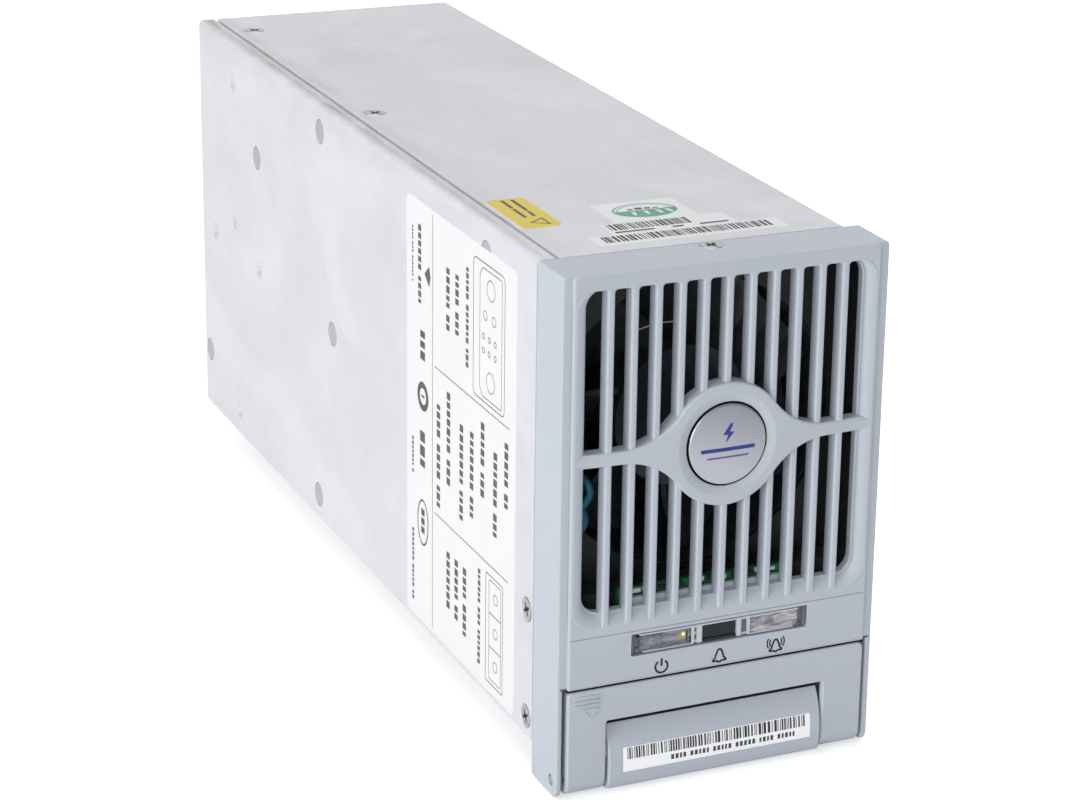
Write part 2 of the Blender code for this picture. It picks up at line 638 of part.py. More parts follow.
def build_fan_frame():
    square = rounded((FAN_X - FAN_HALF, FAN_X + FAN_HALF), (FAN_Z - FAN_HALF, FAN_Z + FAN_HALF), 5, 3)
    frame = outline("fan_frame", "y", [square], (FAN_FRONT, FAN_FRONT + 4), BLACK)
    add(
        frame,
        outline("fan_back_flange", "y", [square], (FAN_BACK - 4, FAN_BACK)),
        fan_rod("fan_barrel", 38.9, (FAN_FRONT + 3, FAN_BACK - 3), 40),
    )
    outlet = [circle(*FAN_CENTRE, FAN_BORE_R, 40), circle(*FAN_CENTRE, 17.0, 24)]
    holes = [
        rod(f"fan_hole_{a}{b}", "y", (FAN_X + a * FAN_HOLE_OFFSET, FAN_Z + b * FAN_HOLE_OFFSET),
            2.1, (FAN_FRONT - 3, FAN_BACK + 3), sides=10)
        for a in (-1, 1) for b in (-1, 1)
    ]
    cut(
        frame,
        fan_rod("fan_bore", FAN_BORE_R, (FAN_FRONT - 5, FAN_BACK - 2.6), 40),
        outline("fan_outlet", "y", outlet, (FAN_BACK - 3.0, FAN_BACK + 5)),
        joined("fan_holes", holes),
    )
    add(frame, *[fan_spoke(k) for k in range(4)])
    add(frame, fan_rod("fan_bearing_tube", 3.6, (23.0, FAN_BACK - 1.0), 16))
    cut(frame, fan_rod("fan_tube_bore", 1.9, (20.0, FAN_BACK - 1.6), 16))


def fan_blade(k):
    """A swept, bowed sheet with thickness."""
    bm = bmesh.new()
    bmesh.ops.create_grid(bm, x_segments=RADIAL_POINTS, y_segments=CHORD_POINTS, size=0.5)
    for vert in bm.verts:
        outward, chord = vert.co.x + 0.5, vert.co.y + 0.5
        radius = BLADE_ROOT + outward * (BLADE_TIP - BLADE_ROOT)
        sweep = math.radians(52 - 12 * outward)
        angle = 2 * math.pi * k / BLADES + chord * sweep + 0.30 * outward
        bow = 1.5 * math.sin(math.pi * chord)
        depth = 22.0 + chord * (19.0 - 1.5 * outward) + bow + 0.8 * outward
        x, z = radius * math.cos(angle), radius * math.sin(angle)
        vert.co = Vector((x, depth - BLADE_Y, z)) * MM
    blade = mesh_object(f"fan_blade_{k}", bm)
    blade.location = place(FAN_X, BLADE_Y, FAN_Z)
    solidify = blade.modifiers.new("thickness", "SOLIDIFY")
    solidify.thickness, solidify.offset = 1.3 * MM, 0
    return blade


def build_fan_motor():
    stator = fan_rod("fan_stator", 15.2, (26.0, 41.0), 24, FERRITE)
    cut(stator, fan_rod("stator_bore", 3.9, (20, 50), 16))
    rotor = fan_rod("fan_rotor", 18.0, (20.0, 44.5), 28, BLACK)
    cut(rotor, fan_rod("rotor_cup", 16.2, (22.4, 46.0), 28))
    fan_rod("fan_shaft", 1.5, (22.8, 46.8), 12, STEEL)
    add(rotor, *[fan_blade(k) for k in range(BLADES)])


def build_fan_cable():
    cable = round_wire("fan_cable", 1.5, 1)
    cable.resolution_u = 3
    knots = cable.splines.new("BEZIER").bezier_points
    knots.add(len(CABLE_PATH) - 1)
    for knot, point in zip(knots, CABLE_PATH):
        knot.co = place(*point)
        knot.handle_left_type = knot.handle_right_type = "AUTO"
    register(bpy.data.objects.new("fan_cable", cable), CABLE)


# ---------------------------------------------------- boards and power parts
BOARD_X, BOARD_T = -36.6, 1.6  # left face and thickness of the main board
BOARD_RIGHT = BOARD_X + BOARD_T
MOUNT_X = BOARD_RIGHT + GAP    # left end of the parts on the board
STANDOFFS = (                  # (y, z)
    (168.9, 124.6), (225.6, 102.5), (159.8, 68.6), (173.0, 15.8), (72.0, 122.0), (72.0, 18.0),
)


def build_board():
    """Main board and insulation sheet, held off the left wall by six studs."""
    board = [rounded((55.0, 266.0), (12.0, 128.0), 2.0, 2)]
    board += [circle(*at, 1.75, 10) for at in STANDOFFS]
    outline("main_board", "x", board, (BOARD_X, BOARD_RIGHT), PCB)
    film = [rounded((57.0, 264.0), (11.0, 129.2), 1.5, 1)]
    film += [circle(*at, 3.9, 8) for at in STANDOFFS]
    outline("insulation_sheet", "x", film, (-41.2, -40.7), FILM)
    for i, at in enumerate(STANDOFFS):
        stud_span = (CASE_LEFT + SHEET + GAP, BOARD_X - GAP)
        stud = rod(f"standoff_{i + 1}", "x", at, 3.3, stud_span, STEEL, 6)
        add(
            stud,
            rod(f"stud_pin_{i}", "x", at, 1.4, (BOARD_X - 1.0, BOARD_RIGHT + 1.0), sides=10),
            rod(f"stud_head_{i}", "x", at, 2.7, (MOUNT_X, BOARD_RIGHT + 2.0), sides=10),
        )


def heatsink_profile(across, root, fin_height, up):
    """A comb. root is the z of its flat side, up is 1 or -1 for the way the fins point."""
    base_height, fins, fin_width = 4.0, 11, 1.5
    left, right = across
    pitch = (right - left - fin_width) / (fins - 1)
    valley, tip = root + up * base_height, root + up * fin_height
    points = [(left, root), (right, root)]
    for i in reversed(range(fins)):
        x = left + i * pitch
        if i != fins - 1:
            points.append((x + fin_width, valley))
        points += [(x + fin_width, tip), (x, tip)]
        if i:
            points.append((x, valley))
    return points


def build_heatsinks():
    primary = heatsink_profile((-32.0, 34.0), 12.6, 24.0, 1)
    outline("heatsink_primary", "y", [primary], (70.0, 150.0), ALU)
    secondary = heatsink_profile((-31.0, 34.0), 126.0, 22.0, -1)
    outline("heatsink_secondary", "y", [secondary], (118.0, 214.0), ALU)


def build_capacitors():
    for i, at in enumerate(((187.0, 33.0), (221.0, 33.0))):
        can = rod(f"bulk_capacitor_{i + 1}", "x", at, 15.0, (MOUNT_X, 14.0), CAP_SLEEVE, 28)
        rim = bevel(can, "rim", 1.2)
        rim.limit_method, rim.angle_limit = "ANGLE", math.radians(60)
    for i, at in enumerate(((236.0, 114.0), (236.0, 92.0))):
        rod(f"output_capacitor_{i + 1}", "x", at, 9.0, (MOUNT_X, 2.0), CAP_SLEEVE)


def toroid(name, at, major, minor):
    """A copper ring with its axis along x."""
    bpy.ops.mesh.primitive_torus_add(
        major_segments=22, minor_segments=9, major_radius=major * MM, minor_radius=minor * MM)
    obj = bpy.context.object
    for owner in list(obj.users_collection):
        owner.objects.unlink(obj)
    obj.name = obj.data.name = name
    obj.data.transform(Matrix.Rotation(math.pi / 2, 4, "Y"))
    obj.location = place(*at)
    obj.data.shade_smooth()
    register(obj, COPPER)


def build_transformer():
    """A three-legged core with the winding round its middle leg."""
    loops = [
        rectangle((130, 176), (50, 92)),
        rectangle((138, 147), (57, 85)),
        rectangle((159, 168), (57, 85)),
    ]
    outline("transformer_core", "x", loops, (-22.0, -2.0), FERRITE)
    winding_loop = rounded((139.0, 167.0), (57.6, 84.4), 4.0, 3)
    winding = outline("transformer_winding", "x", [winding_loop], (-32.6, 10.0), TAPE)
    core_x = (-22.3, -1.7)
    cut(
        winding,
        box("winding_leg_cut", core_x, (146.7, 159.3), (40, 100)),
        box("winding_ends_a", core_x, (130, 180), (84.0, 100)),
        box("winding_ends_b", core_x, (130, 180), (40, 58.0)),
    )


def build_small_parts():
    x_capacitor = box("x_capacitor", (MOUNT_X, -8.0), (247.0, 262.0), (79.0, 89.0), TAPE)
    bevel(x_capacitor, "edges", 0.6)
    relay = box("relay", (MOUNT_X, -16.0), (186.0, 214.0), (49.6, 61.4), BLACK)
    bevel(relay, "edges", 0.6)
    rod("fuse", "y", (MOUNT_X + 4.0, 22.0), 3.2, (242.0, 259.0), CERAMIC, 14)
    box("control_board", (MOUNT_X + 0.6, 8.0), (62.0, 112.0), (98.0, 99.6), PCB)


# -------------------------------------------------------------- connectors
HOUSING_Y = (267.0, Y_BACK)
PIN_END = 283.0


def build_dc_connector():
    shell = rounded(DC_X, DC_Z, 2.0, 2)
    cavity = rounded(shrink(DC_X, 1.5), shrink(DC_Z, 1.5), 1.2, 2)
    housing = outline("dc_connector", "y", [shell], HOUSING_Y, BLACK)
    cut(housing, outline("dc_cavity", "y", [cavity], (271.0, 290.0)))
    plate = box("dc_contacts", shrink(DC_X, 1.9), (271.3, 273.0), shrink(DC_Z, 1.9), STEEL)
    middle = sum(DC_X) / 2
    low, high = shrink(DC_Z, 6.6)
    # (x, z, radius, sides)
    pins = [(middle, low, 2.9, 14), (middle, high, 2.9, 14)]
    pins += [(middle + dx, 91.4, 1.3, 8) for dx in (-3, 3)]
    pins += [(middle + dx, z, 0.7, 8) for dx in (-3.0, 0.0, 3.0) for z in (98.2, 103.0)]
    for i, (x, z, radius, sides) in enumerate(pins):
        add(plate, rod(f"dc_pin_{i}", "y", (x, z), radius, (272.0, PIN_END), sides=sides))


def build_ac_connector():
    housing = box("ac_connector", AC_X, HOUSING_Y, AC_Z, BLACK)
    cut(housing, box("ac_cavity", shrink(AC_X, 1.6), (270.0, 290.0), shrink(AC_Z, 1.6)))
    for k, z in enumerate((30.3, 42.3)):
        divider_y = (272.6, Y_BACK - 0.4)
        add(housing, box(f"ac_divider_{k}", shrink(AC_X, 1.0), divider_y, (z, z + 1.4)))
    plate = box("ac_contacts", shrink(AC_X, 2.0), (270.3, 272.0), shrink(AC_Z, 2.0), STEEL)
    # (z, rear end); the lowest pin is longer
    for k, (z, end) in enumerate(((24.95, PIN_END + 1.2), (37.0, PIN_END), (49.05, PIN_END))):
        add(plate, rod(f"ac_pin_{k}", "y", (sum(AC_X) / 2, z), 1.9, (271.5, end), sides=12))


# ---------------------------------------------------------------- assembly
# clearances shared by several pieces
left_holes = [screw_hole(f"side_hole_l{i}", "x", at, CASE_LEFT, 1, length=6)
              for i, at in enumerate(SIDE_SCREWS)]
right_holes = [screw_hole(f"side_hole_r{i}", "x", at, CASE_RIGHT, -1, length=6)
               for i, at in enumerate(SIDE_SCREWS)]
bezel_hole = screw_hole("bezel_hole", "z", BEZEL_SCREW, CASE_TOP, -1, length=7)
hinge_bore = joined("hinge_bore", [
    rod("bore_" + tag, "x", PIVOT, 1.55, side_span(side, 36, 44), sides=16)
    for side, tag in SIDES])

base, cover = build_case(left_holes, right_holes)
build_rear_panel()
build_bracket(left_holes + right_holes, bezel_hole)
build_bezel(hinge_bore, bezel_hole)
build_indicators()
build_handle(hinge_bore)
build_latch(base, cover)
build_fan_frame()
build_fan_motor()
build_fan_cable()
build_board()
build_heatsinks()
build_capacitors()
toroid("pfc_choke", (MOUNT_X + 8.6, 100.0, 65.0), major=18.0, minor=8.2)
toroid("output_inductor", (MOUNT_X + 7.0, 200.0, 82.0), major=13.0, minor=6.2)
toroid("emi_choke", (MOUNT_X + 6.8, 248.0, 62.0), major=9.5, minor=6.0)
build_transformer()
build_small_parts()
build_dc_connector()
build_ac_connector()
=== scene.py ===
# A slide-in power supply: a plastic bezel with long slots, a round badge, a window of
# lenses and a hinged handle, in front of a case folded from two zinc sheets.
# Sizes are in millimetres: x right, y back with 0 at the bezel cheeks, z up with 0 at the
# bezel's lower edge. TO_WORLD brings them to the CAD frame, in metres.
import json
import math
import random

import bmesh
import bpy
from mathutils import Matrix, Vector


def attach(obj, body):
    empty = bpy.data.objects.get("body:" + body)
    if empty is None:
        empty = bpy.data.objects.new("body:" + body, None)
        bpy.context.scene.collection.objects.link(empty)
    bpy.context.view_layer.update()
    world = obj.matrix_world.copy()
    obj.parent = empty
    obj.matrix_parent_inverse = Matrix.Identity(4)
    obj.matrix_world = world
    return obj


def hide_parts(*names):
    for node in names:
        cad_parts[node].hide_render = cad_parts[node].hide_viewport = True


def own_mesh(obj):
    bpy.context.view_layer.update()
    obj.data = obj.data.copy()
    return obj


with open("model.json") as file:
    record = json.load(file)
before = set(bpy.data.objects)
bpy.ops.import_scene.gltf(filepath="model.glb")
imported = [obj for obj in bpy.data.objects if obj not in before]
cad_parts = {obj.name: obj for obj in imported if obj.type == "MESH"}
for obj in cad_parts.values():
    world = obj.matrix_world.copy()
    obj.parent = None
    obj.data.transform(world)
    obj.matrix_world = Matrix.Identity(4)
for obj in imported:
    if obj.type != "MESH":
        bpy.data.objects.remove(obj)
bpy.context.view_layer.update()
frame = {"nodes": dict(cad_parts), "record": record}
random.seed(41)

MM = 0.001
Y_MID = 141.6
TO_WORLD = Matrix.Translation((0, -Y_MID * MM, 0)) @ Matrix.Scale(MM, 4)

BEZEL_HALF = 42.65
BEZEL_TOP = 132.0
FACE = -0.8                       # front of the face plate
FACE_BACK = 3.3

SKIN = 0.05                       # the case sits this far inside, so labels stay in the box
LEFT = -BEZEL_HALF + SKIN         # the outer faces of the case
RIGHT = 39.0 - SKIN
BOTTOM = 8.1 + SKIN
TOP = BEZEL_TOP - SKIN
CASE_FRONT, CASE_BACK = 15.5, 281.0

SLOT_PITCH, BAR_WIDTH = 6.13, 1.9
EYE_Z, EYE_RADIUS = 86.5, 15.5    # the round bulge about the badge
BAND_HALF = 1.72                  # half height of the band on both sides of the bulge
EYE_FILLET = 18.0                 # from the bulge into the band
HINGE_Y, HINGE_Z = 3.2, 4.2
HINGE = (HINGE_Y, HINGE_Z)

SCENE = bpy.context.scene
COLLECTION = SCENE.collection
LOOKS = {}                        # finished materials, by name without "_look"


# ---------------------------------------------------------------- materials
def plug(tree, source, socket):
    """Links an output socket, or sets a plain value."""
    if hasattr(source, "node"):
        tree.links.new(source, socket)
    else:
        socket.default_value = source


def add_node(tree, kind, **inputs):
    node = tree.nodes.new("ShaderNode" + kind)
    for name, value in inputs.items():
        plug(tree, value, node.inputs[name])
    return node


def add_math(tree, operation, first, second=0.0, third=0.5):
    node = add_node(tree, "Math")
    node.operation = operation
    for value, socket in zip((first, second, third), node.inputs):
        plug(tree, value, socket)
    return node.outputs[0]


class Look:
    """Builds a Principled material in layers. Textures lie in object space, in metres."""

    def __init__(self, name, color, rough, metal=0.0):
        self.name = name
        self.material = bpy.data.materials.new(name + "_look")
        self.material.use_nodes = True
        self.tree = self.material.node_tree
        self.shader = self.tree.nodes["Principled BSDF"]
        self.shader.inputs["Metallic"].default_value = metal
        self.coord = self.node("TexCoord").outputs["Object"]
        self.color = self.rgb(color)
        self.rough = self.node("Value").outputs[0]
        self.rough.default_value = rough
        self.normal = None

    def node(self, kind, **inputs):
        return add_node(self.tree, kind, **inputs)

    def math(self, *args):
        return add_math(self.tree, *args)

    def rgb(self, color):
        output = self.node("RGB").outputs[0]
        output.default_value = (*color, 1)
        return output

    def position(self):
        return self.node("SeparateXYZ", Vector=self.coord).outputs

    def mapping(self, scale=(1, 1, 1), turn=(0, 0, 0)):
        return self.node("Mapping", Vector=self.coord, Scale=scale, Rotation=turn).outputs[0]

    def noise(self, scale, detail=4.0, rough=0.55, stretch=(1, 1, 1), turn=(0, 0, 0),
              distortion=0.0):
        return self.node("TexNoise", Vector=self.mapping(stretch, turn), Scale=scale,
                         Detail=detail, Roughness=rough, Distortion=distortion).outputs["Fac"]

    def ramp(self, factor, start, end, value=1.0):
        """Rises from 0 at start to value at end."""
        node = self.node("ValToRGB", Fac=factor)
        low, high = node.color_ramp.elements
        low.position = start
        high.position = end
        high.color = (value, value, value, 1)
        return node.outputs[0]

    def clamp(self, value):
        return self.node("Clamp", Value=value).outputs[0]

    def mix_color(self, factor, color):
        node = self.node("Mix")
        node.data_type = "RGBA"
        for source, i in ((factor, 0), (self.color, 6), (self.rgb(color), 7)):
            plug(self.tree, source, node.inputs[i])
        self.color = node.outputs[2]

    def vary(self, factor, amount):
        """Lighter and darker patches: colour times 1 +- amount."""
        gain = self.math("MULTIPLY_ADD", factor, 2 * amount, 1 - amount)
        node = self.node("VectorMath")
        node.operation = "SCALE"
        plug(self.tree, self.color, node.inputs[0])
        plug(self.tree, gain, node.inputs["Scale"])
        self.color = node.outputs[0]

    def vary_rough(self, factor, amount):
        change = self.math("MULTIPLY_ADD", factor, 2 * amount, -amount)
        self.rough = self.math("ADD", self.rough, change)

    def bump(self, height, strength, distance):
        node = self.node("Bump", Strength=strength, Distance=distance, Height=height)
        if self.normal is not None:
            plug(self.tree, self.normal, node.inputs["Normal"])
        self.normal = node.outputs[0]

    def edge(self, radius, lighten):
        """Lighter edges, partly wear and partly a painted highlight, from how far the rounded
        normal leans off the true one.
        """
        rounded = self.node("Bevel", Radius=radius)
        rounded.samples = 4
        dot = self.node("VectorMath")
        dot.operation = "DOT_PRODUCT"
        plug(self.tree, rounded.outputs[0], dot.inputs[0])
        plug(self.tree, self.node("NewGeometry").outputs["Normal"], dot.inputs[1])
        away = self.math("SUBTRACT", 1.0, dot.outputs["Value"])
        self.mix_color(self.math("MULTIPLY", away, lighten), (1, 1, 1))

    def done(self, settings={}):
        """Closes the material. settings are further inputs of the shader."""
        ends = {"Base Color": self.color, "Roughness": self.rough, **settings}
        if self.normal is not None:
            ends["Normal"] = self.normal
        for name, source in ends.items():
            plug(self.tree, source, self.shader.inputs[name])
        LOOKS[self.name] = self.material


def plastic(name, color, rough, edge_wear_and_highlight):
    look = Look(name, color, rough)
    look.vary(look.noise(scale=18, detail=2, rough=0.4), amount=0.025)
    look.vary_rough(look.noise(scale=30, detail=2), amount=0.04)
    look.bump(look.noise(scale=2600, detail=2, rough=0.6), strength=0.08, distance=0.00004)
    # lighter edges: partly wear, partly a painted highlight along them
    if edge_wear_and_highlight:
        look.edge(radius=0.0004, lighten=edge_wear_and_highlight)
    look.done({"IOR": 1.48})


def seam_dirt(look, seam, dirt):
    """Brown dirt along the top by the plane x = seam, fading towards the front."""
    x, y, z = look.position()
    away = look.math("ABSOLUTE", look.math("SUBTRACT", x, seam))
    near = look.clamp(look.math("SUBTRACT", 1.0, look.math("MULTIPLY", away, 260.0)))
    high = look.clamp(look.math("MULTIPLY", look.math("SUBTRACT", z, 0.1235), 160.0))
    far = look.clamp(look.math("MULTIPLY", look.math("ADD", y, 0.16), 7.0))
    spots = look.noise(scale=70, detail=8, rough=0.72, stretch=(1.4, 0.35, 1.4))
    spots = look.ramp(spots, start=0.40, end=0.66, value=0.85)
    amount = look.math("MULTIPLY", spots, look.math("MULTIPLY", far, dirt))
    amount = look.math("MULTIPLY", look.math("MULTIPLY", near, high), amount)
    look.mix_color(amount, color=(0.40, 0.365, 0.33))


def zinc(name, color, rough, metal, smudge, seam=None, dirt=1.0):
    look = Look(name, color, rough, metal)
    # smudges, then large pale and small dark stains
    look.vary(look.noise(scale=9, detail=6, rough=0.62, distortion=0.6), smudge)
    cloud = look.noise(scale=16, detail=3, rough=0.5, stretch=(1, 0.6, 1), distortion=1.2)
    look.vary(look.ramp(cloud, start=0.46, end=0.56), amount=0.022)
    stain = look.noise(scale=26, detail=8, rough=0.68, stretch=(1, 0.55, 1))
    look.mix_color(look.ramp(stain, start=0.50, end=0.74, value=0.20), (0.55, 0.555, 0.57))
    fleck = look.noise(scale=330, detail=6, rough=0.75)
    look.mix_color(look.ramp(fleck, start=0.66, end=0.74, value=0.30), (0.42, 0.42, 0.43))
    if seam is not None:
        seam_dirt(look, seam, dirt)
    # crystal patches, rolling streaks and slight waves
    spangle = look.node("TexVoronoi", Vector=look.mapping(), Scale=190).outputs["Color"]
    look.vary(spangle, amount=0.018)
    look.vary_rough(spangle, amount=0.045)
    look.vary_rough(look.noise(scale=30, detail=6, rough=0.65), amount=0.10)
    streak = look.noise(scale=1.0, detail=5, rough=0.7, stretch=(900, 14, 900))
    look.vary_rough(streak, amount=0.04)
    look.bump(streak, strength=0.05, distance=0.00006)
    look.bump(look.noise(scale=1900, detail=3, rough=0.6), strength=0.05, distance=0.00004)
    look.bump(look.noise(scale=14, detail=2), strength=0.05, distance=0.0012)
    look.done()


def plain(name, color, rough, metal, scale, amount, bump, distance=0.00005,
          stretch=(1, 1, 1), settings={}):
    look = Look(name, color, rough, metal)
    grain = look.noise(scale, detail=5, rough=0.6, stretch=stretch)
    look.vary(grain, amount)
    look.vary_rough(look.noise(scale * 0.4, detail=4), amount=0.06)
    look.bump(grain, bump, distance)
    look.done(settings)


def badge_look():
    """Silver with a painted shade that darkens it to the upper right."""
    look = Look("badge", (0.68, 0.70, 0.77), rough=0.30, metal=0.80)
    x, y, z = look.position()
    rise = look.math("MULTIPLY", look.math("SUBTRACT", z, EYE_Z * MM), 52.0)
    lean = look.math("ADD", look.math("MULTIPLY", x, 18.0), rise)
    look.mix_color(look.clamp(look.math("ADD", 0.34, lean)), color=(0.39, 0.395, 0.465))
    look.vary(look.noise(scale=700, detail=3, rough=0.6), amount=0.02)
    look.vary_rough(look.noise(scale=300, detail=3), amount=0.03)
    look.done()


def lens(name, color, rough, transmission):
    look = Look(name, color, rough)
    look.vary(look.noise(scale=260, detail=5, rough=0.7), amount=0.08)
    look.vary_rough(look.noise(scale=500, detail=4), amount=0.08)
    look.bump(look.noise(scale=240, detail=4, rough=0.6), strength=0.35, distance=0.0003)
    look.done({"Transmission Weight": transmission, "IOR": 1.49})


def streaky(name, dull, glint, spread):
    """Clear plastic seen at a slant, painted: a dull body for the shade seen through it, with
    painted bright drawn-out glints.
    """
    look = Look(name, dull, rough=0.16)
    drawn = look.noise(scale=150, detail=7, rough=0.72, stretch=(1.0, 1.0, 3.4),
                       turn=(0, math.radians(14), 0), distortion=1.1)
    look.mix_color(look.ramp(drawn, start=0.44, end=spread), glint)
    look.vary(look.noise(scale=900, detail=4, rough=0.7, stretch=(0.4, 1, 2)), amount=0.16)
    look.vary_rough(drawn, amount=0.1)
    look.bump(drawn, strength=0.5, distance=0.0004)
    look.done({"Coat Weight": 0.7, "Coat Roughness": 0.05,
               "Transmission Weight": 0.12, "IOR": 1.49})


plastic("bezel_plastic", (0.560, 0.608, 0.676), rough=0.30, edge_wear_and_highlight=0.14)
# a darker copy of the bezel plastic: painted shade for the parts inside
plastic("bezel_inner", (0.26, 0.285, 0.325), rough=0.45, edge_wear_and_highlight=0)
zinc("case_zinc", (0.815, 0.82, 0.86), rough=0.50, metal=0.30, smudge=0.07, seam=-0.0398)
zinc("cover_zinc", (0.80, 0.80, 0.835), rough=0.50, metal=0.30, smudge=0.07, seam=-0.0345,
     dirt=0.45)
zinc("rear_zinc", (0.66, 0.665, 0.69), rough=0.45, metal=0.6, smudge=0.1)

# name, colour, roughness, metallic, grain scale, colour variation, bump strength
PLAIN_LOOKS = [
    ("stud", (0.58, 0.585, 0.61), 0.45, 0.6, 700, 0.14, 0.25),
    # the dimple look is pale: a painted highlight
    ("dimple", (0.86, 0.865, 0.89), 0.22, 0.7, 500, 0.06, 0.15),
    ("screw", (0.60, 0.60, 0.61), 0.24, 1.0, 700, 0.12, 0.2),
    # the screw recess look is dark: painted shade in the cross recess
    ("screw_recess_shade", (0.16, 0.16, 0.165), 0.45, 0.6, 700, 0.2, 0.2),
    # black sheet and wire; on the fan bracket this black is painted shade
    ("blackened_sheet", (0.022, 0.023, 0.026), 0.45, 0.0, 300, 0.3, 0.15),
    ("bright_steel", (0.70, 0.70, 0.71), 0.28, 1.0, 500, 0.08, 0.1),
    ("connector_black", (0.022, 0.022, 0.024), 0.42, 0.0, 900, 0.2, 0.25),
    ("board", (0.014, 0.15, 0.065), 0.35, 0.0, 700, 0.25, 0.15),
    ("ferrite", (0.05, 0.05, 0.056), 0.62, 0.2, 900, 0.2, 0.3),
    ("tape", (0.78, 0.60, 0.05), 0.42, 0.0, 300, 0.06, 0.1),
    ("capacitor", (0.03, 0.035, 0.07), 0.3, 0.0, 300, 0.1, 0.05),
    ("teal_sleeve", (0.012, 0.15, 0.20), 0.42, 0.0, 900, 0.15, 0.25),
    # the orange wire is lightened towards the colour of its highlight: partly painted highlight
    ("orange_wire", (0.95, 0.66, 0.42), 0.30, 0.0, 900, 0.1, 0.1),
    ("film", (0.75, 0.73, 0.64), 0.35, 0.0, 200, 0.04, 0.05),
    ("ceramic", (0.80, 0.80, 0.78), 0.25, 0.0, 500, 0.03, 0.05),
    ("label_paper", (0.90, 0.90, 0.91), 0.42, 0.0, 60, 0.025, 0.04),
    ("yellow_sticker", (0.82, 0.64, 0.07), 0.4, 0.0, 150, 0.04, 0.04),
    ("green_print", (0.13, 0.42, 0.29), 0.45, 0.0, 200, 0.06, 0.03),
    ("ink", (0.035, 0.035, 0.04), 0.5, 0.0, 1500, 0.25, 0.05),
    ("soft_ink", (0.085, 0.085, 0.095), 0.5, 0.0, 1500, 0.25, 0.05),
    ("grey_ink", (0.095, 0.095, 0.105), 0.5, 0.0, 1500, 0.25, 0.05),
    ("icon_print", (0.016, 0.018, 0.026), 0.45, 0.0, 1500, 0.2, 0.05),
    ("badge_print_pale", (0.13, 0.14, 0.27), 0.4, 0.0, 900, 0.1, 0.05),
    ("badge_print", (0.03, 0.045, 0.30), 0.35, 0.0, 900, 0.1, 0.05),
    ("led_green", (0.25, 0.55, 0.28), 0.2, 0.0, 900, 0.1, 0.05),
    ("led_yellow", (0.50, 0.38, 0.12), 0.12, 0.2, 900, 0.3, 0.05),
    ("led_red", (0.5, 0.06, 0.05), 0.2, 0.0, 900, 0.1, 0.05),
    ("smoke_lens", (0.008, 0.012, 0.018), 0.22, 0.0, 300, 0.3, 0.1),
]
for row in PLAIN_LOOKS:
    plain(*row)
# black porous foam, also standing as painted shade inside the bezel
plain("foam_lining", (0.022, 0.024, 0.030), rough=0.75, metal=0.0, scale=1500, amount=0.8,
      bump=0.9, distance=0.0004)
# near-black look: painted shade for gaps, seats and hollows where shade falls
plain("groove", (0.010, 0.011, 0.016), rough=0.8, metal=0.0, scale=500, amount=0.1, bump=0.1,
      settings={"Specular IOR Level": 0.12})
plain("fan_black", (0.046, 0.052, 0.068), rough=0.30, metal=0.0, scale=120, amount=0.6,
      bump=0.25, distance=0.0001)
plain("heatsink", (0.62, 0.63, 0.65), rough=0.38, metal=1.0, scale=60, amount=0.08,
      bump=0.1, distance=0.0001, stretch=(1, 20, 1))
plain("winding", (0.62, 0.24, 0.08), rough=0.33, metal=1.0, scale=1.0, amount=0.15,
      bump=0.7, distance=0.0003, stretch=(900, 900, 60))
# the code label's paper glows a little: painted light
plain("code_paper", (0.98, 0.98, 1.0), rough=0.38, metal=0.0, scale=60, amount=0.02, bump=0.04,
      settings={"Emission Color": (0.96, 0.97, 1.0, 1.0), "Emission Strength": 0.14})
plain("lamp_glint", (1.0, 0.93, 0.56), rough=0.1, metal=0.0, scale=900, amount=0.05, bump=0.05,
      settings={"Emission Color": (1.0, 0.9, 0.5, 1.0), "Emission Strength": 0.25})
badge_look()
streaky("lens_left", dull=(0.13, 0.13, 0.175), glint=(0.56, 0.56, 0.66), spread=0.74)
streaky("lens_right", dull=(0.20, 0.19, 0.225), glint=(0.82, 0.79, 0.84), spread=0.66)
lens("frost_lens", (0.74, 0.77, 0.82), rough=0.22, transmission=0.15)
lens("lens_end", (0.20, 0.205, 0.235), rough=0.2, transmission=0.2)


# ------------------------------------------------------------ solid shapes
# Turns the z axis of a flat outline to the named axis.
TURN = {
    "y": Matrix(((1, 0, 0, 0), (0, 0, -1, 0), (0, 1, 0, 0), (0, 0, 0, 1))),
    "x": Matrix(((0, 0, 1, 0), (1, 0, 0, 0), (0, 1, 0, 0), (0, 0, 0, 1))),
    "z": Matrix.Identity(4),
}


def to_mesh(shape, name="tmp"):
    mesh = bpy.data.meshes.new(name)
    shape.to_mesh(mesh)
    shape.free()
    return mesh


def add_object(name, data):
    obj = bpy.data.objects.new(name, data)
    COLLECTION.objects.link(obj)
    return obj


def bake(obj, helpers=()):
    """Gives an object with its modifiers as a shape, and removes it and its helpers."""
    bpy.context.view_layer.update()
    graph = bpy.context.evaluated_depsgraph_get()
    mesh = bpy.data.meshes.new_from_object(obj.evaluated_get(graph))
    for used in (obj, *helpers):
        bpy.data.objects.remove(used)
    shape = bmesh.new()
    shape.from_mesh(mesh)
    bpy.data.meshes.remove(mesh)
    bmesh.ops.remove_doubles(shape, verts=shape.verts, dist=1e-4)
    return shape


def fix_normals(shape):
    bmesh.ops.recalc_face_normals(shape, faces=shape.faces)
    return shape


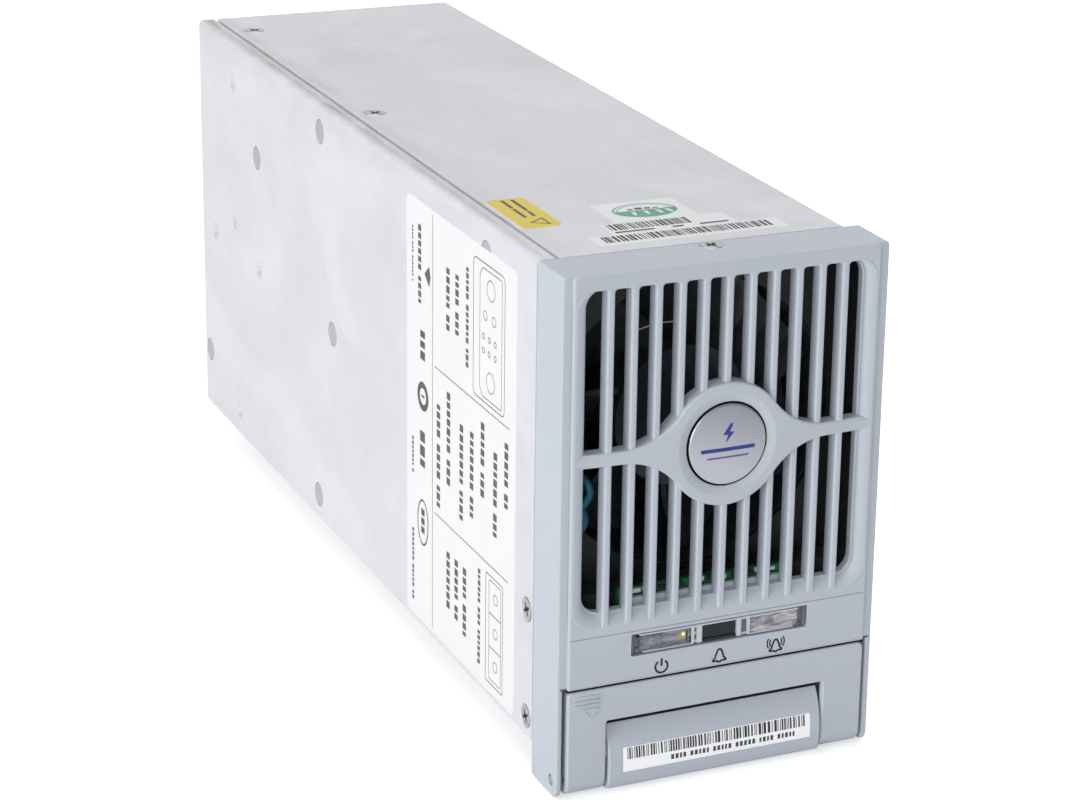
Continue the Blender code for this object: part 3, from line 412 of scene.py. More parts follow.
def sheet(loops, span, bevel=0.0, steps=3, axis="y"):
    """A flat outline with holes, extruded between the ends of span, with rounded edges."""
    curve = bpy.data.curves.new("tmp", "CURVE")
    curve.dimensions, curve.fill_mode = "2D", "BOTH"
    curve.extrude = (span[1] - span[0]) / 2 - bevel
    curve.bevel_depth, curve.bevel_resolution, curve.offset = bevel, steps, -bevel
    for loop in loops:
        spline = curve.splines.new("POLY")
        spline.points.add(len(loop) - 1)
        for point, (across, up) in zip(spline.points, loop):
            point.co = (across, up, 0, 1)
        spline.use_cyclic_u = True
    shape = bake(add_object("tmp", curve))
    shift = Vector((0, 0, 0))
    shift["xyz".index(axis)] = (span[0] + span[1]) / 2
    shape.transform(Matrix.Translation(shift) @ TURN[axis])
    return fix_normals(shape)


def block(x, y, z, bevel=0.0, steps=2):
    shape = bmesh.new()
    bmesh.ops.create_cube(shape, size=1.0)
    size = (x[1] - x[0], y[1] - y[0], z[1] - z[0])
    bmesh.ops.scale(shape, vec=size, verts=shape.verts)
    bmesh.ops.translate(shape, vec=(sum(x) / 2, sum(y) / 2, sum(z) / 2), verts=shape.verts)
    if bevel:
        bmesh.ops.bevel(shape, geom=shape.edges[:], offset=bevel, segments=steps,
                        profile=0.5, affect="EDGES")
    return shape


def lathe(profile, axis, at, sides=64):
    """Turns (distance along the axis, radius) pairs round an axis through at (the two
    other coordinates)."""
    shape = bmesh.new()
    rings = []
    for along, radius in profile:
        ring = []
        for i in range(sides if radius > 1e-6 else 1):
            angle = 2 * math.pi * i / sides
            place = [at[0] + radius * math.cos(angle), at[1] + radius * math.sin(angle)]
            place.insert("xyz".index(axis), along)
            ring.append(shape.verts.new(place))
        rings.append(ring)
    for low, high in zip(rings, rings[1:]):
        for i in range(sides):
            j = (i + 1) % sides
            if len(low) == 1:
                shape.faces.new((low[0], high[i], high[j]))
            elif len(high) == 1:
                shape.faces.new((low[i], low[j], high[0]))
            else:
                shape.faces.new((low[i], low[j], high[j], high[i]))
    return fix_normals(shape)


def rod(span, radius, axis, at, sides=32):
    start, end = span
    return lathe([(start, 0), (start, radius), (end, radius), (end, 0)], axis, at, sides)


def skin_rings(shape, rings):
    """Quads between successive rings of vertices."""
    for low, high in zip(rings, rings[1:]):
        for i in range(len(low)):
            j = (i + 1) % len(low)
            shape.faces.new((low[i], low[j], high[j], high[i]))


def loft(loops):
    shape = bmesh.new()
    skin_rings(shape, [[shape.verts.new(point) for point in loop] for loop in loops])
    return fix_normals(shape)


def smooth(points):
    """Catmull-Rom through the points, in six steps from each to the next."""
    points = [Vector(point) for point in points]
    last = len(points) - 1
    curve = []
    for i in range(last):
        before, start = points[max(i - 1, 0)], points[i]
        end, after = points[i + 1], points[min(i + 2, last)]
        for k in range(6):
            t = k / 6
            curve.append(0.5 * (2 * start + (end - before) * t
                                + (2 * before - 5 * start + 4 * end - after) * t * t
                                + (3 * start - before - 3 * end + after) * t**3))
    curve.append(points[-1])
    return curve


def tube(points, radius, sides=10):
    """A round wire through the points, smoothed."""
    path = smooth(points)
    shape = bmesh.new()
    rings = []
    side = None
    for i, point in enumerate(path):
        along = (path[min(i + 1, len(path) - 1)] - path[max(i - 1, 0)]).normalized()
        if side is None:
            side = along.orthogonal().normalized()
        side = (side - along * side.dot(along)).normalized()
        up = along.cross(side)
        angles = [2 * math.pi * k / sides for k in range(sides)]
        rings.append([shape.verts.new(point + radius * (side * math.cos(a) + up * math.sin(a)))
                      for a in angles])
    skin_rings(shape, rings)
    shape.faces.new(rings[0])
    shape.faces.new(rings[-1])
    return fix_normals(shape)


def merge(first, *others):
    for other in others:
        mesh = to_mesh(other)
        first.from_mesh(mesh)
        bpy.data.meshes.remove(mesh)
    return first


def blocks(*rows):
    """Merged blocks; each row is an x, y and z span and a bevel."""
    return merge(*[block(*row) for row in rows])


def slice_at(shape, axis, values):
    normal = Vector((0, 0, 0))
    normal[axis] = 1
    for value in values:
        bmesh.ops.bisect_plane(shape, geom=shape.verts[:] + shape.edges[:] + shape.faces[:],
                               dist=1e-4, plane_co=normal * value, plane_no=normal)


def boolean(shape, tools, operation="DIFFERENCE"):
    """Cuts or joins closed shapes."""
    target = add_object("tmp", to_mesh(shape))
    helpers = [add_object("tmp", to_mesh(tool)) for tool in tools]
    for helper in helpers:
        modifier = target.modifiers.new("b", "BOOLEAN")
        modifier.operation, modifier.object, modifier.solver = operation, helper, "EXACT"
    return bake(target, helpers)


def piece(name, shape, look, stands_for=None, body="housing", angle=32,
          shade="weighted"):
    """Adds a finished object. shade is weighted, smooth or flat."""
    mesh = to_mesh(shape, name)
    mesh.transform(TO_WORLD)
    obj = add_object(name, mesh)
    for look_name in [look] if isinstance(look, str) else look:
        mesh.materials.append(LOOKS[look_name])
    if shade != "flat":
        mesh.shade_smooth()
        mesh.set_sharp_from_angle(angle=math.radians(angle))
    if shade == "weighted":
        obj.modifiers.new("normals", "WEIGHTED_NORMAL").keep_sharp = True
    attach(obj, body)
    if stands_for:
        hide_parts(stands_for)
    return obj


# ----------------------------------------------------------------- outlines
def fillet(outline, radius, steps=5):
    """Rounds the corners of a closed outline. radius is one number or one per corner."""
    rounded = []
    for i, point in enumerate(outline):
        wanted = radius[i] if isinstance(radius, list) else radius
        corner = Vector(point)
        before = Vector(outline[i - 1]) - corner
        after = Vector(outline[(i + 1) % len(outline)]) - corner
        room = 0.49 * min(before.length, after.length)
        before.normalize()
        after.normalize()
        cosine = max(-1, min(1, before.dot(after)))
        if wanted <= 0 or cosine < -0.998:
            rounded.append((corner.x, corner.y))
            continue
        half = math.acos(cosine) / 2
        reach = min(wanted / math.tan(half), room)
        actual = reach * math.tan(half)
        centre = corner + (before + after).normalized() * (actual / math.sin(half))
        first = corner + before * reach - centre
        last = corner + after * reach - centre
        start = math.atan2(first.y, first.x)
        sweep = math.atan2(last.y, last.x) - start
        sweep = (sweep + math.pi) % (2 * math.pi) - math.pi
        angles = [start + sweep * k / steps for k in range(steps + 1)]
        rounded += [(centre.x + actual * math.cos(a), centre.y + actual * math.sin(a))
                    for a in angles]
    return rounded


def ellipse(x, y, half_x, half_y, count):
    angles = [2 * math.pi * i / count for i in range(count)]
    return [(x + half_x * math.cos(a), y + half_y * math.sin(a)) for a in angles]


def circle(x, y, radius, count):
    return ellipse(x, y, radius, radius, count)


def arc(x, y, radius, start, end, steps):
    angles = [math.radians(start + (end - start) * i / steps) for i in range(steps + 1)]
    return [(x + radius * math.cos(a), y + radius * math.sin(a)) for a in angles]


def rect(x0, x1, y0, y1):
    return [(x0, y0), (x1, y0), (x1, y1), (x0, y1)]


def round_rect(x0, x1, z0, z1, radius, steps=8):
    corners = ((x0 + radius, z0 + radius, 180), (x1 - radius, z0 + radius, 270),
               (x1 - radius, z1 - radius, 0), (x0 + radius, z1 - radius, 90))
    return [point for x, z, start in corners
            for point in arc(x, z, radius, start, start + 90, steps)]


def direction(start, end):
    return (end - start).normalized() if (end - start).length > 1e-9 else None


def stroke(points, width, closed=False):
    """A line of some width as quads."""
    points = [Vector(point) for point in points]
    count = len(points)
    sides = []
    for i, point in enumerate(points):
        before = points[i - 1] if i or closed else point
        after = points[(i + 1) % count] if i < count - 1 or closed else point
        arriving, leaving = direction(before, point), direction(point, after)
        arriving, leaving = arriving or leaving, leaving or arriving
        along = (arriving + leaving).normalized()
        mitre = 1.0 / max(0.5, abs(along.dot(arriving)))
        offset = Vector((-along.y, along.x)) * (width / 2 * mitre)
        sides.append((point + offset, point - offset))
    quads = []
    for i in range(count if closed else count - 1):
        (left, right), (next_left, next_right) = sides[i], sides[(i + 1) % count]
        quads.append([left, right, next_right, next_left])
    return quads


# ------------------------------------------------------------------- prints
# Thin shapes laid on a surface by a function that takes two places on it and a height.
def on_front(x, z, height):
    return (x, FACE - height, z)


def on_left(y, z, height):
    return (LEFT - height, y, z)


def on_top(x, y, height):
    return (x, y, TOP + height)


def printed(polygons, place, low, high):
    shape = bmesh.new()
    for polygon in polygons:
        top = [shape.verts.new(place(*point, high)) for point in polygon]
        bottom = [shape.verts.new(place(*point, low)) for point in polygon]
        shape.faces.new(top)
        for i in range(len(top)):
            j = (i + 1) % len(top)
            shape.faces.new((top[i], bottom[i], bottom[j], top[j]))
    return fix_normals(shape)


def strip(x0, x1, z0, z1, place, low, high, columns=1, rows=10):
    """A rectangle with thickness that bends with its surface."""
    shape = bmesh.new()
    grid = {}
    for level, height in ((0, low), (1, high)):
        for i in range(columns + 1):
            for j in range(rows + 1):
                x, z = x0 + (x1 - x0) * i / columns, z0 + (z1 - z0) * j / rows
                grid[level, i, j] = shape.verts.new(place(x, z, height))

    def face(*corners):
        shape.faces.new([grid[corner] for corner in corners])

    for i in range(columns):
        for j in range(rows):
            for k in (0, 1):
                face((k, i, j), (k, i + 1, j), (k, i + 1, j + 1), (k, i, j + 1))
    for i in range(columns):
        for j in (0, rows):
            face((0, i, j), (0, i + 1, j), (1, i + 1, j), (1, i, j))
    for j in range(rows):
        for i in (0, columns):
            face((0, i, j), (0, i, j + 1), (1, i, j + 1), (1, i, j))
    return fix_normals(shape)


def code_bars(start, end, seed, unit):
    """Left and right edges of plain stripes of mixed width."""
    draw = random.Random(seed)
    stripes = []
    while start < end - unit:
        width = unit * draw.choice((1, 1, 1, 2, 2, 3))
        stripes.append((start, min(start + width, end)))
        start += width + unit * draw.choice((1, 1, 1, 2, 2))
    return stripes


def words(y, bottom, top, width, seed):
    """A column of small dashes where a line of words would be, running down from top."""
    draw = random.Random(seed)
    dashes = []
    count = 0
    unit = 0.62 * width
    stop = draw.choice((4, 5, 6, 7))
    while top > bottom + unit * 0.5:
        size = unit * draw.choice((0.72, 0.9, 1.0, 1.1))
        dash = rect(y - width * 0.40, y + width * 0.40, max(top - size, bottom), top)
        dashes.append(fillet(dash, 0.18, 2))
        top -= size + unit * 0.34
        count += 1
        if count == stop:
            top -= unit * 0.75
            count, stop = 0, draw.choice((3, 4, 5, 6))
    return dashes


# -------------------------------------------------------------------- bezel
def eye(x):
    """Half height of the eye: a round bulge blending into a thin band on both sides."""
    x = abs(x)
    far = math.sqrt((EYE_RADIUS + EYE_FILLET) ** 2 - (BAND_HALF + EYE_FILLET) ** 2)
    if x < far * EYE_RADIUS / (EYE_RADIUS + EYE_FILLET):
        return math.sqrt(EYE_RADIUS**2 - x * x)
    if x < far:
        return BAND_HALF + EYE_FILLET - math.sqrt(EYE_FILLET**2 - (far - x) ** 2)
    return BAND_HALF


def face_plate():
    """The front plate with two rows of long slots, the bars between them left standing."""
    outline = [(-40.2, 28.5), (40.2, 28.5), (40.2, 131.98), (-40.2, 131.98)]
    loops = [fillet(outline, [0.5, 0.5, 0.9, 0.9], 4)]
    side, low, top = 39.0, 44.2, 128.1
    overlap = 0.4                 # the eye covers the ends of the slots by this much
    for k in range(-6, 6):
        first, last = k == -6, k == 5
        x0 = -side if first else k * SLOT_PITCH + BAR_WIDTH / 2
        x1 = side if last else (k + 1) * SLOT_PITCH - BAR_WIDTH / 2
        left, right = (5.0 if first else 0.8), (5.0 if last else 0.8)
        xs = [x0 + (x1 - x0) * i / 10 for i in range(11)]
        z = EYE_Z + 20
        upper = fillet([(x0, z), (x0, top), (x1, top), (x1, z)], [0, left, right, 0], 6)
        z = EYE_Z - 20
        lower = fillet([(x1, z), (x1, low), (x0, low), (x0, z)], [0, right, left, 0], 6)
        loops.append(upper[1:-1] + [(x, EYE_Z + eye(x) - overlap) for x in reversed(xs)])
        loops.append(lower[1:-1] + [(x, EYE_Z - eye(x) + overlap) for x in xs])
    groove = block((-39.95, 39.95), (FACE - 1, FACE + 0.30), (41.5, 41.74))
    window = fillet(rect(-23.75, 23.85, 34.95, 40.75), 0.35, 3)
    window = sheet([window], (FACE - 1, FACE_BACK + 1))
    bore = rod((-3, 4), 11.2, "y", (0, EYE_Z), 64)
    return boolean(sheet(loops, (FACE, FACE_BACK), 0.60, 5), [groove, window, bore])


def dish():
    """The sloping wall round the slots, between the plate and the edge of the opening."""
    def ring(y, half, bottom, top, radius):
        return [(x, y, z) for x, z in round_rect(-half, half, bottom, top, radius, 12)]

    top = 128.65
    loops = [ring(1.0, 40.1, 43.1, 129.1, 6.0), ring(FACE + 0.12, 39.75, 43.45, 128.8, 5.7)]
    for i in range(17):
        t = i / 16
        half = 39.6 - 3.05 * (1 - (1 - t) ** 2.2)
        loops.append(ring(FACE - 0.006 + 1.976 * t**1.6, half, 43.6 + 3.15 * t, top, 5.6 - t))
    for i in range(1, 6):
        angle = math.radians(90 * i / 5)
        inset = 0.35 * math.sin(angle)
        y = 1.17 + 0.35 * (1 - math.cos(angle))
        loops.append(ring(y, 36.55 - inset, 46.75 + inset, top, 4.6))
    loops.append(ring(3.3, 36.2, 47.1, top, 4.6))
    return loft(loops)


# distance along y, radius: the seat of the badge, cut into the eye
EYE_CONE = [(-3, 0), (-3, 15.0), (-1.86, 12.75), (-1.64, 12.0), (-1.42, 11.4), (-1.24, 10.9),
            (-1.10, 10.70), (-0.85, 10.62), (4, 10.62), (4, 0)]


def eye_band():
    """The eye standing before the slots, its ends bent back."""
    xs = [-37.9 + 75.8 * i / 110 for i in range(111)]
    outline = [(x, EYE_Z + eye(x)) for x in xs] + [(x, EYE_Z - eye(x)) for x in reversed(xs)]
    shape = sheet([outline], (-1.88, FACE_BACK), 0.6, 5)
    shape = boolean(shape, [lathe(EYE_CONE, "y", (0, EYE_Z), 96)])
    slice_at(shape, 0, range(-36, 37))
    for vert in shape.verts:
        if vert.co.y < 1.0:
            weight = 1.0 if vert.co.y < 0 else 1.0 - vert.co.y
            vert.co.y += weight * 1.35 * (vert.co.x / 37.5) ** 2
    return shape


def back_plate():
    window = round_rect(-24.2, 24.3, 34.7, 41.0, 0.4, 3)
    outline = fillet(rect(-BEZEL_HALF, BEZEL_HALF, 28.45, BEZEL_TOP), [0.3, 0.3, 0.9, 0.9], 4)
    opening = round_rect(-39.9, 39.9, 43.2, 129.3, 3.0)
    return sheet([window, outline, opening], (0.0, 2.2), 0.7, 4)


def hinge_bores(inner, outer):
    return [rod(span, 1.5, "x", HINGE) for span in ((-outer, -inner), (inner, outer))]


def cheeks():
    """The two cheeks and the top that joins them."""
    half, top, inner_half, inner_top = 42.64, 131.99, 41.15, 129.8
    outline = [(-half, 0.0), (-half, top), (half, top), (half, 0.0), (inner_half, 0.0),
               (inner_half, inner_top), (-inner_half, inner_top), (-inner_half, 0.0)]
    outline = fillet(outline, [0.7, 0.9, 0.9, 0.7, 0.7, 0.3, 0.3, 0.7], 4)
    shape = sheet([outline], (0.01, 15.2), 0.5, 4)
    # round the lower front corner of the cheeks, seen from the side
    corner = 3.2
    slice_at(shape, 2, [0.6, 1.2, 1.8, 2.4, corner])
    for vert in shape.verts:
        y, z = vert.co.y, vert.co.z
        if z < corner and y < 7:
            k = (corner - z) / corner
            push = 2.4 * (1 - math.sqrt(max(0.0, 1 - k * k)))
            vert.co.y += push * max(0.0, 1 - y / 7)
    seat = [(133, 0), (133, 3.4), (132.1, 3.4), (130.5, 1.6), (128, 1.6), (128, 0)]
    return boolean(shape, hinge_bores(40, 44) + [lathe(seat, "z", BEZEL_SCREW_AT, 40)])


BEZEL_SCREW_AT = (1.0, 12.6)

piece("bezel_face", face_plate(), "bezel_plastic", stands_for="front_bezel")
piece("bezel_dish", dish(), "bezel_plastic", angle=60, shade="smooth")
piece("bezel_eye", eye_band(), "bezel_plastic")
piece("bezel_back_plate", back_plate(), "bezel_plastic")
piece("bezel_shell", cheeks(), "bezel_plastic")
# blocks inside the handle's pocket, darker as painted shade
piece("bezel_inner", blocks(
    ((-41.5, 41.5), (6.2, 8.2), (12.9, 29.4), 0.3),
    ((-30.6, 30.6), (6.3, 8.1), (9.6, 14.5), 0.3),
    ((-41.4, 41.4), (1.7, 8.1), (28.9, 30.6), 0.3),
), "bezel_inner")
# near-black strips in the gaps under the face plate and beside the hinges: painted shade
piece("bezel_gap_shade", blocks(
    ((-40.15, 40.15), (-0.42, 1.5), (28.07, 28.75), 0.04),
    ((-41.0, -40.3), (5.1, 6.3), (3.0, 13.2), 0.06),
    ((40.3, 41.0), (5.1, 6.3), (3.0, 13.2), 0.06),
), "groove")
piece("bezel_ledge", blocks(
    ((-24.6, 21.5), (3.4, 4.9), (42.6, 48.4), 0.4),
    ((-37.0, 37.0), (2.9, 4.0), (43.4, 47.0), 0.3),
), "bezel_plastic")


def lining():
    """Porous black strip round the inside of the bezel, behind the slots: foam, and also
    painted shade for the dark inside.
    """
    outer = fillet(rect(-41.0, 41.0, 31.2, 129.6), 0.4, 3)
    hollow = fillet(rect(-39.3, 38.6, 48.9, 127.9), 2.5, 4)
    return merge(
        sheet([outer, hollow], (7.6, 14.6), 0.3, 2),
        block((-41.0, -38.9), (3.4, 7.8), (49.0, 129.4), 0.3),
        block((38.3, 41.0), (3.4, 7.8), (49.0, 129.4), 0.3),
        block((-41.0, 41.0), (3.4, 7.8), (128.9, 129.7), 0.2),
    )


piece("foam_lining", lining(), "foam_lining")

# -------------------------------------------------------------------- badge
# A spun disc with a rolled rim and a domed face, in a groove whose near-black sleeve and seat
# are painted shade.
BADGE_RIM_Y, BADGE_DOME, BADGE_RADIUS = -1.58, 0.28, 9.55
# distance along y, radius
BADGE_SEAT = [(2.5, 0), (2.5, 11.9), (0.9, 11.9), (0.8, 11.6), (0.8, 0)]
BADGE_GROOVE = [(-0.92, 10.61), (-0.86, 11.1), (0.9, 11.1), (0.9, 9.9), (-1.22, 9.9),
                (-1.22, 10.17), (-1.10, 10.22), (0.6, 10.24), (0.6, 10.57), (-0.92, 10.61)]


def badge_y(radius):
    return BADGE_RIM_Y - BADGE_DOME * (1 - (radius / BADGE_RADIUS) ** 2)


def on_badge(x, rise, height):
    """rise is the height above the badge's centre."""
    return (x, badge_y(math.hypot(x, rise)) - height, EYE_Z + rise)


def badge():
    profile = [(0.55, 0), (0.55, 9.8), (-1.20, 9.8), (-1.23, 10.14)]
    for degrees in (0, 12, 24, 36, 48, 60, 75, 90):
        angle = math.radians(degrees)
        profile.append((-1.25 - 0.33 * math.sin(angle), BADGE_RADIUS + 0.63 * math.cos(angle)))
    profile += [(badge_y(radius), radius) for radius in (9.1, 8.5, 8, 7, 6, 5, 4, 3, 2, 1, 0)]
    return lathe(profile, "y", (0, EYE_Z), 96)


# the seat and the sleeve round the badge are near-black: painted shade in the gap
piece("badge_seat_shade", lathe(BADGE_SEAT, "y", (0, EYE_Z)), "groove")
piece("badge_groove_shade", lathe(BADGE_GROOVE, "y", (0, EYE_Z), 96), "groove",
      shade="smooth")
piece("badge", badge(), "badge", "badge_disc", angle=40, shade="smooth")

# ----------------------------------------------------------- status symbols
# Under the window, from the left: power, bell, bell with waves.
# x, z of the right half of a bell, from its top
BELL = [(0, 1.95), (0.40, 1.78), (0.62, 1.35), (0.80, 0.75), (1.02, 0.1), (1.15, -0.5),
        (1.42, -0.95), (1.80, -1.35), (1.80, -1.62), (1.2, -1.70), (0.62, -1.66),
        (0.34, -1.98), (0, -2.05)]


def bell(centre_x, centre_z, scale):
    outline = BELL + [(-x, z) for x, z in reversed(BELL[1:-1])]
    outline = [(centre_x + x * scale, centre_z + z * scale * 0.88) for x, z in outline]
    return stroke(outline, 0.52, True)


def status_symbols():
    marks = stroke(arc(-15.6, 31.1, 1.62, 124, 416, 28), 0.54)
    marks += stroke([(-15.6, 31.2), (-15.6, 33.2)], 0.56)
    marks += bell(0.0, 31.35, 0.97) + bell(15.4, 31.35, 0.92)
    for start, end in ((146, 214), (-34, 34)):
        for radius in (1.65, 2.35):
            marks += stroke(arc(15.4, 32.15, radius, start, end, 6), 0.40)
    return printed(marks, on_front, -0.01, 0.012)


piece("status_symbols", status_symbols(), "icon_print", shade="flat")


# ------------------------------------------------------------ window lenses
def ribbed_lens(left, right):
    """A lens whose front has a few shallow upright waves."""
    front, back, depth, pitch = -0.30, 2.6, 0.07, 2.3
    count = round((right - left) / pitch)
    width = (right - left) / count
    points = []
    for i in range(count):
        x = left + (right - left) * i / count
        points += [(x, front + depth), (x + width * 0.25, front + depth * 0.2),
                   (x + width * 0.5, front), (x + width * 0.75, front + depth * 0.2)]
    points += [(right, front + depth), (right, back), (left, back)]
    return sheet([points], (35.6, 40.1), axis="z")


def lens_frame():
    uprights = ((-7.55, -6.75, -0.5), (-6.1, -4.7, -0.56), (4.7, 5.9, -0.56), (7.5, 8.35, -0.5))
    rows = [((x0, x1), (front, 2.7), (35.45, 40.3), 0.18) for x0, x1, front in uprights]
    for z in ((35.5, 36.3), (37.6, 38.3), (39.3, 40.2)):
        rows.append(((-6.8, -6.0), (-0.1, 2.7), z, 0.1))
    for z in ((35.5, 36.1), (39.5, 40.2)):
        rows.append(((5.8, 7.6), (-0.1, 2.7), z, 0.1))
    for x in ((-21.4, -7.5), (-4.8, 4.8), (8.3, 21.4)):
        rows.append((x, (-0.52, 1.2), (39.85, 40.3), 0.1))
    for x in ((-20.5, -7.5), (8.3, 20.2)):
        rows.append((x, (-0.52, 1.2), (35.4, 35.72), 0.1))
    return blocks(*rows)


# a near-black back behind the lenses: painted shade
def lens_back_shade():
    dot = [(2.4, 0), (2.4, 0.62), (3.35, 0.8), (3.35, 0)]
    dots = [lathe(dot, "y", (x, z), 16) for x in (-22.4, 22.5) for z in (36.3, 39.5)]
    return merge(block((-24.4, 24.4), (3.35, 4.1), (33.6, 42.2), 0.2), *dots)


piece("lens_left", ribbed_lens(-21.3, -7.7), "lens_left", "light_pipe", angle=25)
piece("lens_right", ribbed_lens(8.5, 21.3), "lens_right", angle=25)
piece("lens_middle", blocks(
    ((-4.5, 4.5), (0.1, 2.4), (35.9, 40.0), 0.25),
    ((-4.5, 4.5), (-0.25, 0.6), (35.5, 36.15), 0.1),
), "smoke_lens")
piece("lens_frame", lens_frame(), "frost_lens")
piece("lens_ends", blocks(
    ((-23.45, -22.9), (-0.5, 2.7), (35.35, 40.35), 0.15),
    ((-22.6, -21.4), (-0.3, 2.7), (35.5, 36.7), 0.2),
    ((-22.95, -21.25), (0.3, 2.7), (35.4, 40.3), 0.15),
    ((22.7, 23.45), (-0.5, 2.7), (35.35, 40.35), 0.15),
    ((21.25, 22.75), (0.2, 2.7), (35.4, 40.3), 0.15),
    ((20.3, 22.2), (-0.3, 2.7), (35.45, 36.2), 0.2),
    ((5.85, 7.55), (0.1, 2.7), (36.0, 39.6), 0.1),
    ((-6.8, -6.05), (0.2, 2.7), (36.2, 37.7), 0.1),
), "lens_end")
piece("lens_back_shade", lens_back_shade(), "groove")

# the glint on the lamp in the left lens, painted: a glowing spot and a yellow halo round it;
# distance along y, radius
SPARK = [(-0.52, 0), (-0.50, 0.25), (-0.42, 0.42), (-0.36, 0.47), (0.4, 0.5)]
HALO = [(-0.37, 0), (-0.36, 0.5), (-0.30, 0.92), (0.3, 1.0)]
SIDE_HALO = [(-0.33, 0), (-0.31, 0.6), (-0.2, 0.8), (0.3, 0.85)]
piece("lens_spark", lathe(SPARK, "y", (-9.75, 38.45), 24), "lamp_glint",
      shade="smooth")
halo = merge(lathe(HALO, "y", (-9.85, 38.3), 24), lathe(SIDE_HALO, "y", (-10.7, 37.9), 24))
piece("lens_spark_halo", halo, "led_yellow", shade="smooth")
# dark marks in the left lens: painted shade
piece("lens_spark_shade", blocks(
    ((-9.0, -8.55), (-0.34, 0.3), (36.4, 39.2), 0.08),
    ((-8.2, -7.75), (-0.34, 0.3), (35.9, 37.6), 0.08),
    ((-22.2, -15.2), (-0.34, 0.3), (39.55, 39.8), 0.04),
), "smoke_lens")

# ------------------------------------------------------------- finger scoop
# y, z down the front face, then up the back
SCOOP_FRONT = [(7.6, 25.2), (6.1, 23.4), (4.6, 21.3), (2.55, 18.3), (0.75, 15.3),
               (-0.45, 12.5), (-1.12, 9.8), (-1.38, 7.0), (-1.36, 4.6), (-1.15, 2.5),
               (-0.55, 1.05), (0.6, 0.3), (2.2, 0.12)]
SCOOP_BACK = [(14.6, 0.12), (14.6, 1.7), (2.6, 1.7), (1.5, 2.2), (0.85, 4.2), (0.7, 7.0),
              (0.9, 9.4), (1.55, 11.8), (2.65, 14.4), (4.25, 17.1), (7.6, 21.8)]
scoop_curve = smooth(SCOOP_FRONT)
scoop = sheet([scoop_curve + SCOOP_BACK], (-29.2, 28.6), 0.45, 4, axis="x")
piece("finger_scoop", scoop, "bezel_plastic")


def on_scoop(x, z, height):
    for (y1, z1), (y2, z2) in zip(scoop_curve, scoop_curve[1:]):
        if z2 <= z <= z1:
            t = (z - z1) / (z2 - z1)
            normal = Vector((z2 - z1, -(y2 - y1))).normalized()
            return (x, y1 + (y2 - y1) * t + normal.x * height, z + normal.y * height)
    return (x, -1.3 - height, z)


# a plain bolt mark and two plain bars on the badge
BOLT = [(0.45, 5.3), (-1.45, 2.6), (-0.15, 2.5), (-0.75, 0.5), (1.55, 3.2), (0.3, 3.25),
        (1.25, 5.3)]
badge_mark = merge(printed([BOLT], on_badge, -0.02, 0.03),
                   strip(-7.1, 7.1, -1.6, -0.65, on_badge, -0.02, 0.03, 14, 2))
piece("badge_mark", badge_mark, "badge_print", shade="flat")
piece("badge_mark_low", strip(-5.5, 5.5, -3.35, -2.9, on_badge, -0.02, 0.03, 12, 1),
      "badge_print_pale", shade="flat")

# the label on the scoop: paper that glows a little as painted light, stripes and a row of
# dashes
PAPER_HIGH, INK_HIGH = 0.05, 0.062


def scoop_dashes():
    dashes = []
    x = -12.6
    draw = random.Random(3)
    while x < 18.5:
        for _ in range(draw.choice((2, 4, 5, 5))):
            width = draw.choice((0.55, 0.75, 0.8))
            dashes.append(strip(x, x + width, 6.0, 7.3, on_scoop, PAPER_HIGH, INK_HIGH, rows=3))
            x += width + 0.38
        x += 0.8
    return merge(*dashes)


piece("scoop_label", strip(-25.4, 25.7, 4.95, 11.15, on_scoop, 0.0, PAPER_HIGH, rows=12),
      "code_paper", angle=60, shade="smooth")
stripes = [strip(x0, x1, 8.1, 11.0, on_scoop, PAPER_HIGH, INK_HIGH, rows=5)
           for x0, x1 in code_bars(-24.3, 24.9, seed=7, unit=0.23)]
piece("scoop_label_bars", merge(*stripes), "ink", shade="flat")
piece("scoop_label_dashes", scoop_dashes(), "soft_ink", shade="flat")

# y, z of a near-black strip under the handle's cross bar: painted shadow in the gap
SHADOW_STRIP_PROFILE = [(1.75, 18.75), (1.45, 18.5), (1.32, 17.4), (2.4, 16.9), (3.6, 18.7)]
stop = sheet([fillet(SHADOW_STRIP_PROFILE, 0.2, 3)], (-28.7, 28.1), 0.08, 1, axis="x")
piece("handle_shadow_strip", stop, "groove")


# ------------------------------------------------------------------- handle
def handle_skin():
    """The bail's skin, rounded on every edge, its lower ends curled round the hinge."""
    low, half = -1.5, 40.15
    outline = [(-half, low), (-29.6, low), (-29.75, 1.5), (-29.75, 19.0), (29.1, 19.0),
               (29.1, 1.5), (29.5, low), (half, low), (half, 28.0), (-half, 28.0)]
    outline = fillet(outline, [1.0, 2.6, 3.0, 0.5, 0.5, 3.0, 2.6, 1.0, 1.6, 1.2], 6)
    shape = sheet([outline], (FACE, FACE + 2.1), 0.62, 4)
    slice_at(shape, 2, [-1 + 0.55 * i for i in range(11)])
    for vert in shape.verts:
        if vert.co.z < HINGE_Z:
            radius = HINGE_Y - vert.co.y
            angle = (HINGE_Z - vert.co.z) / (HINGE_Y - FACE)
            vert.co.y = HINGE_Y - radius * math.cos(angle)
            vert.co.z = HINGE_Z - radius * math.sin(angle)
    return shape


def arm_point(along, across):
    """Places y, z on the arms, which point back and 20 degrees down from the hinge."""
    back, rise = math.cos(math.radians(-20)), math.sin(math.radians(-20))
    return (HINGE_Y + along * back - across * rise, HINGE_Z + along * rise + across * back)


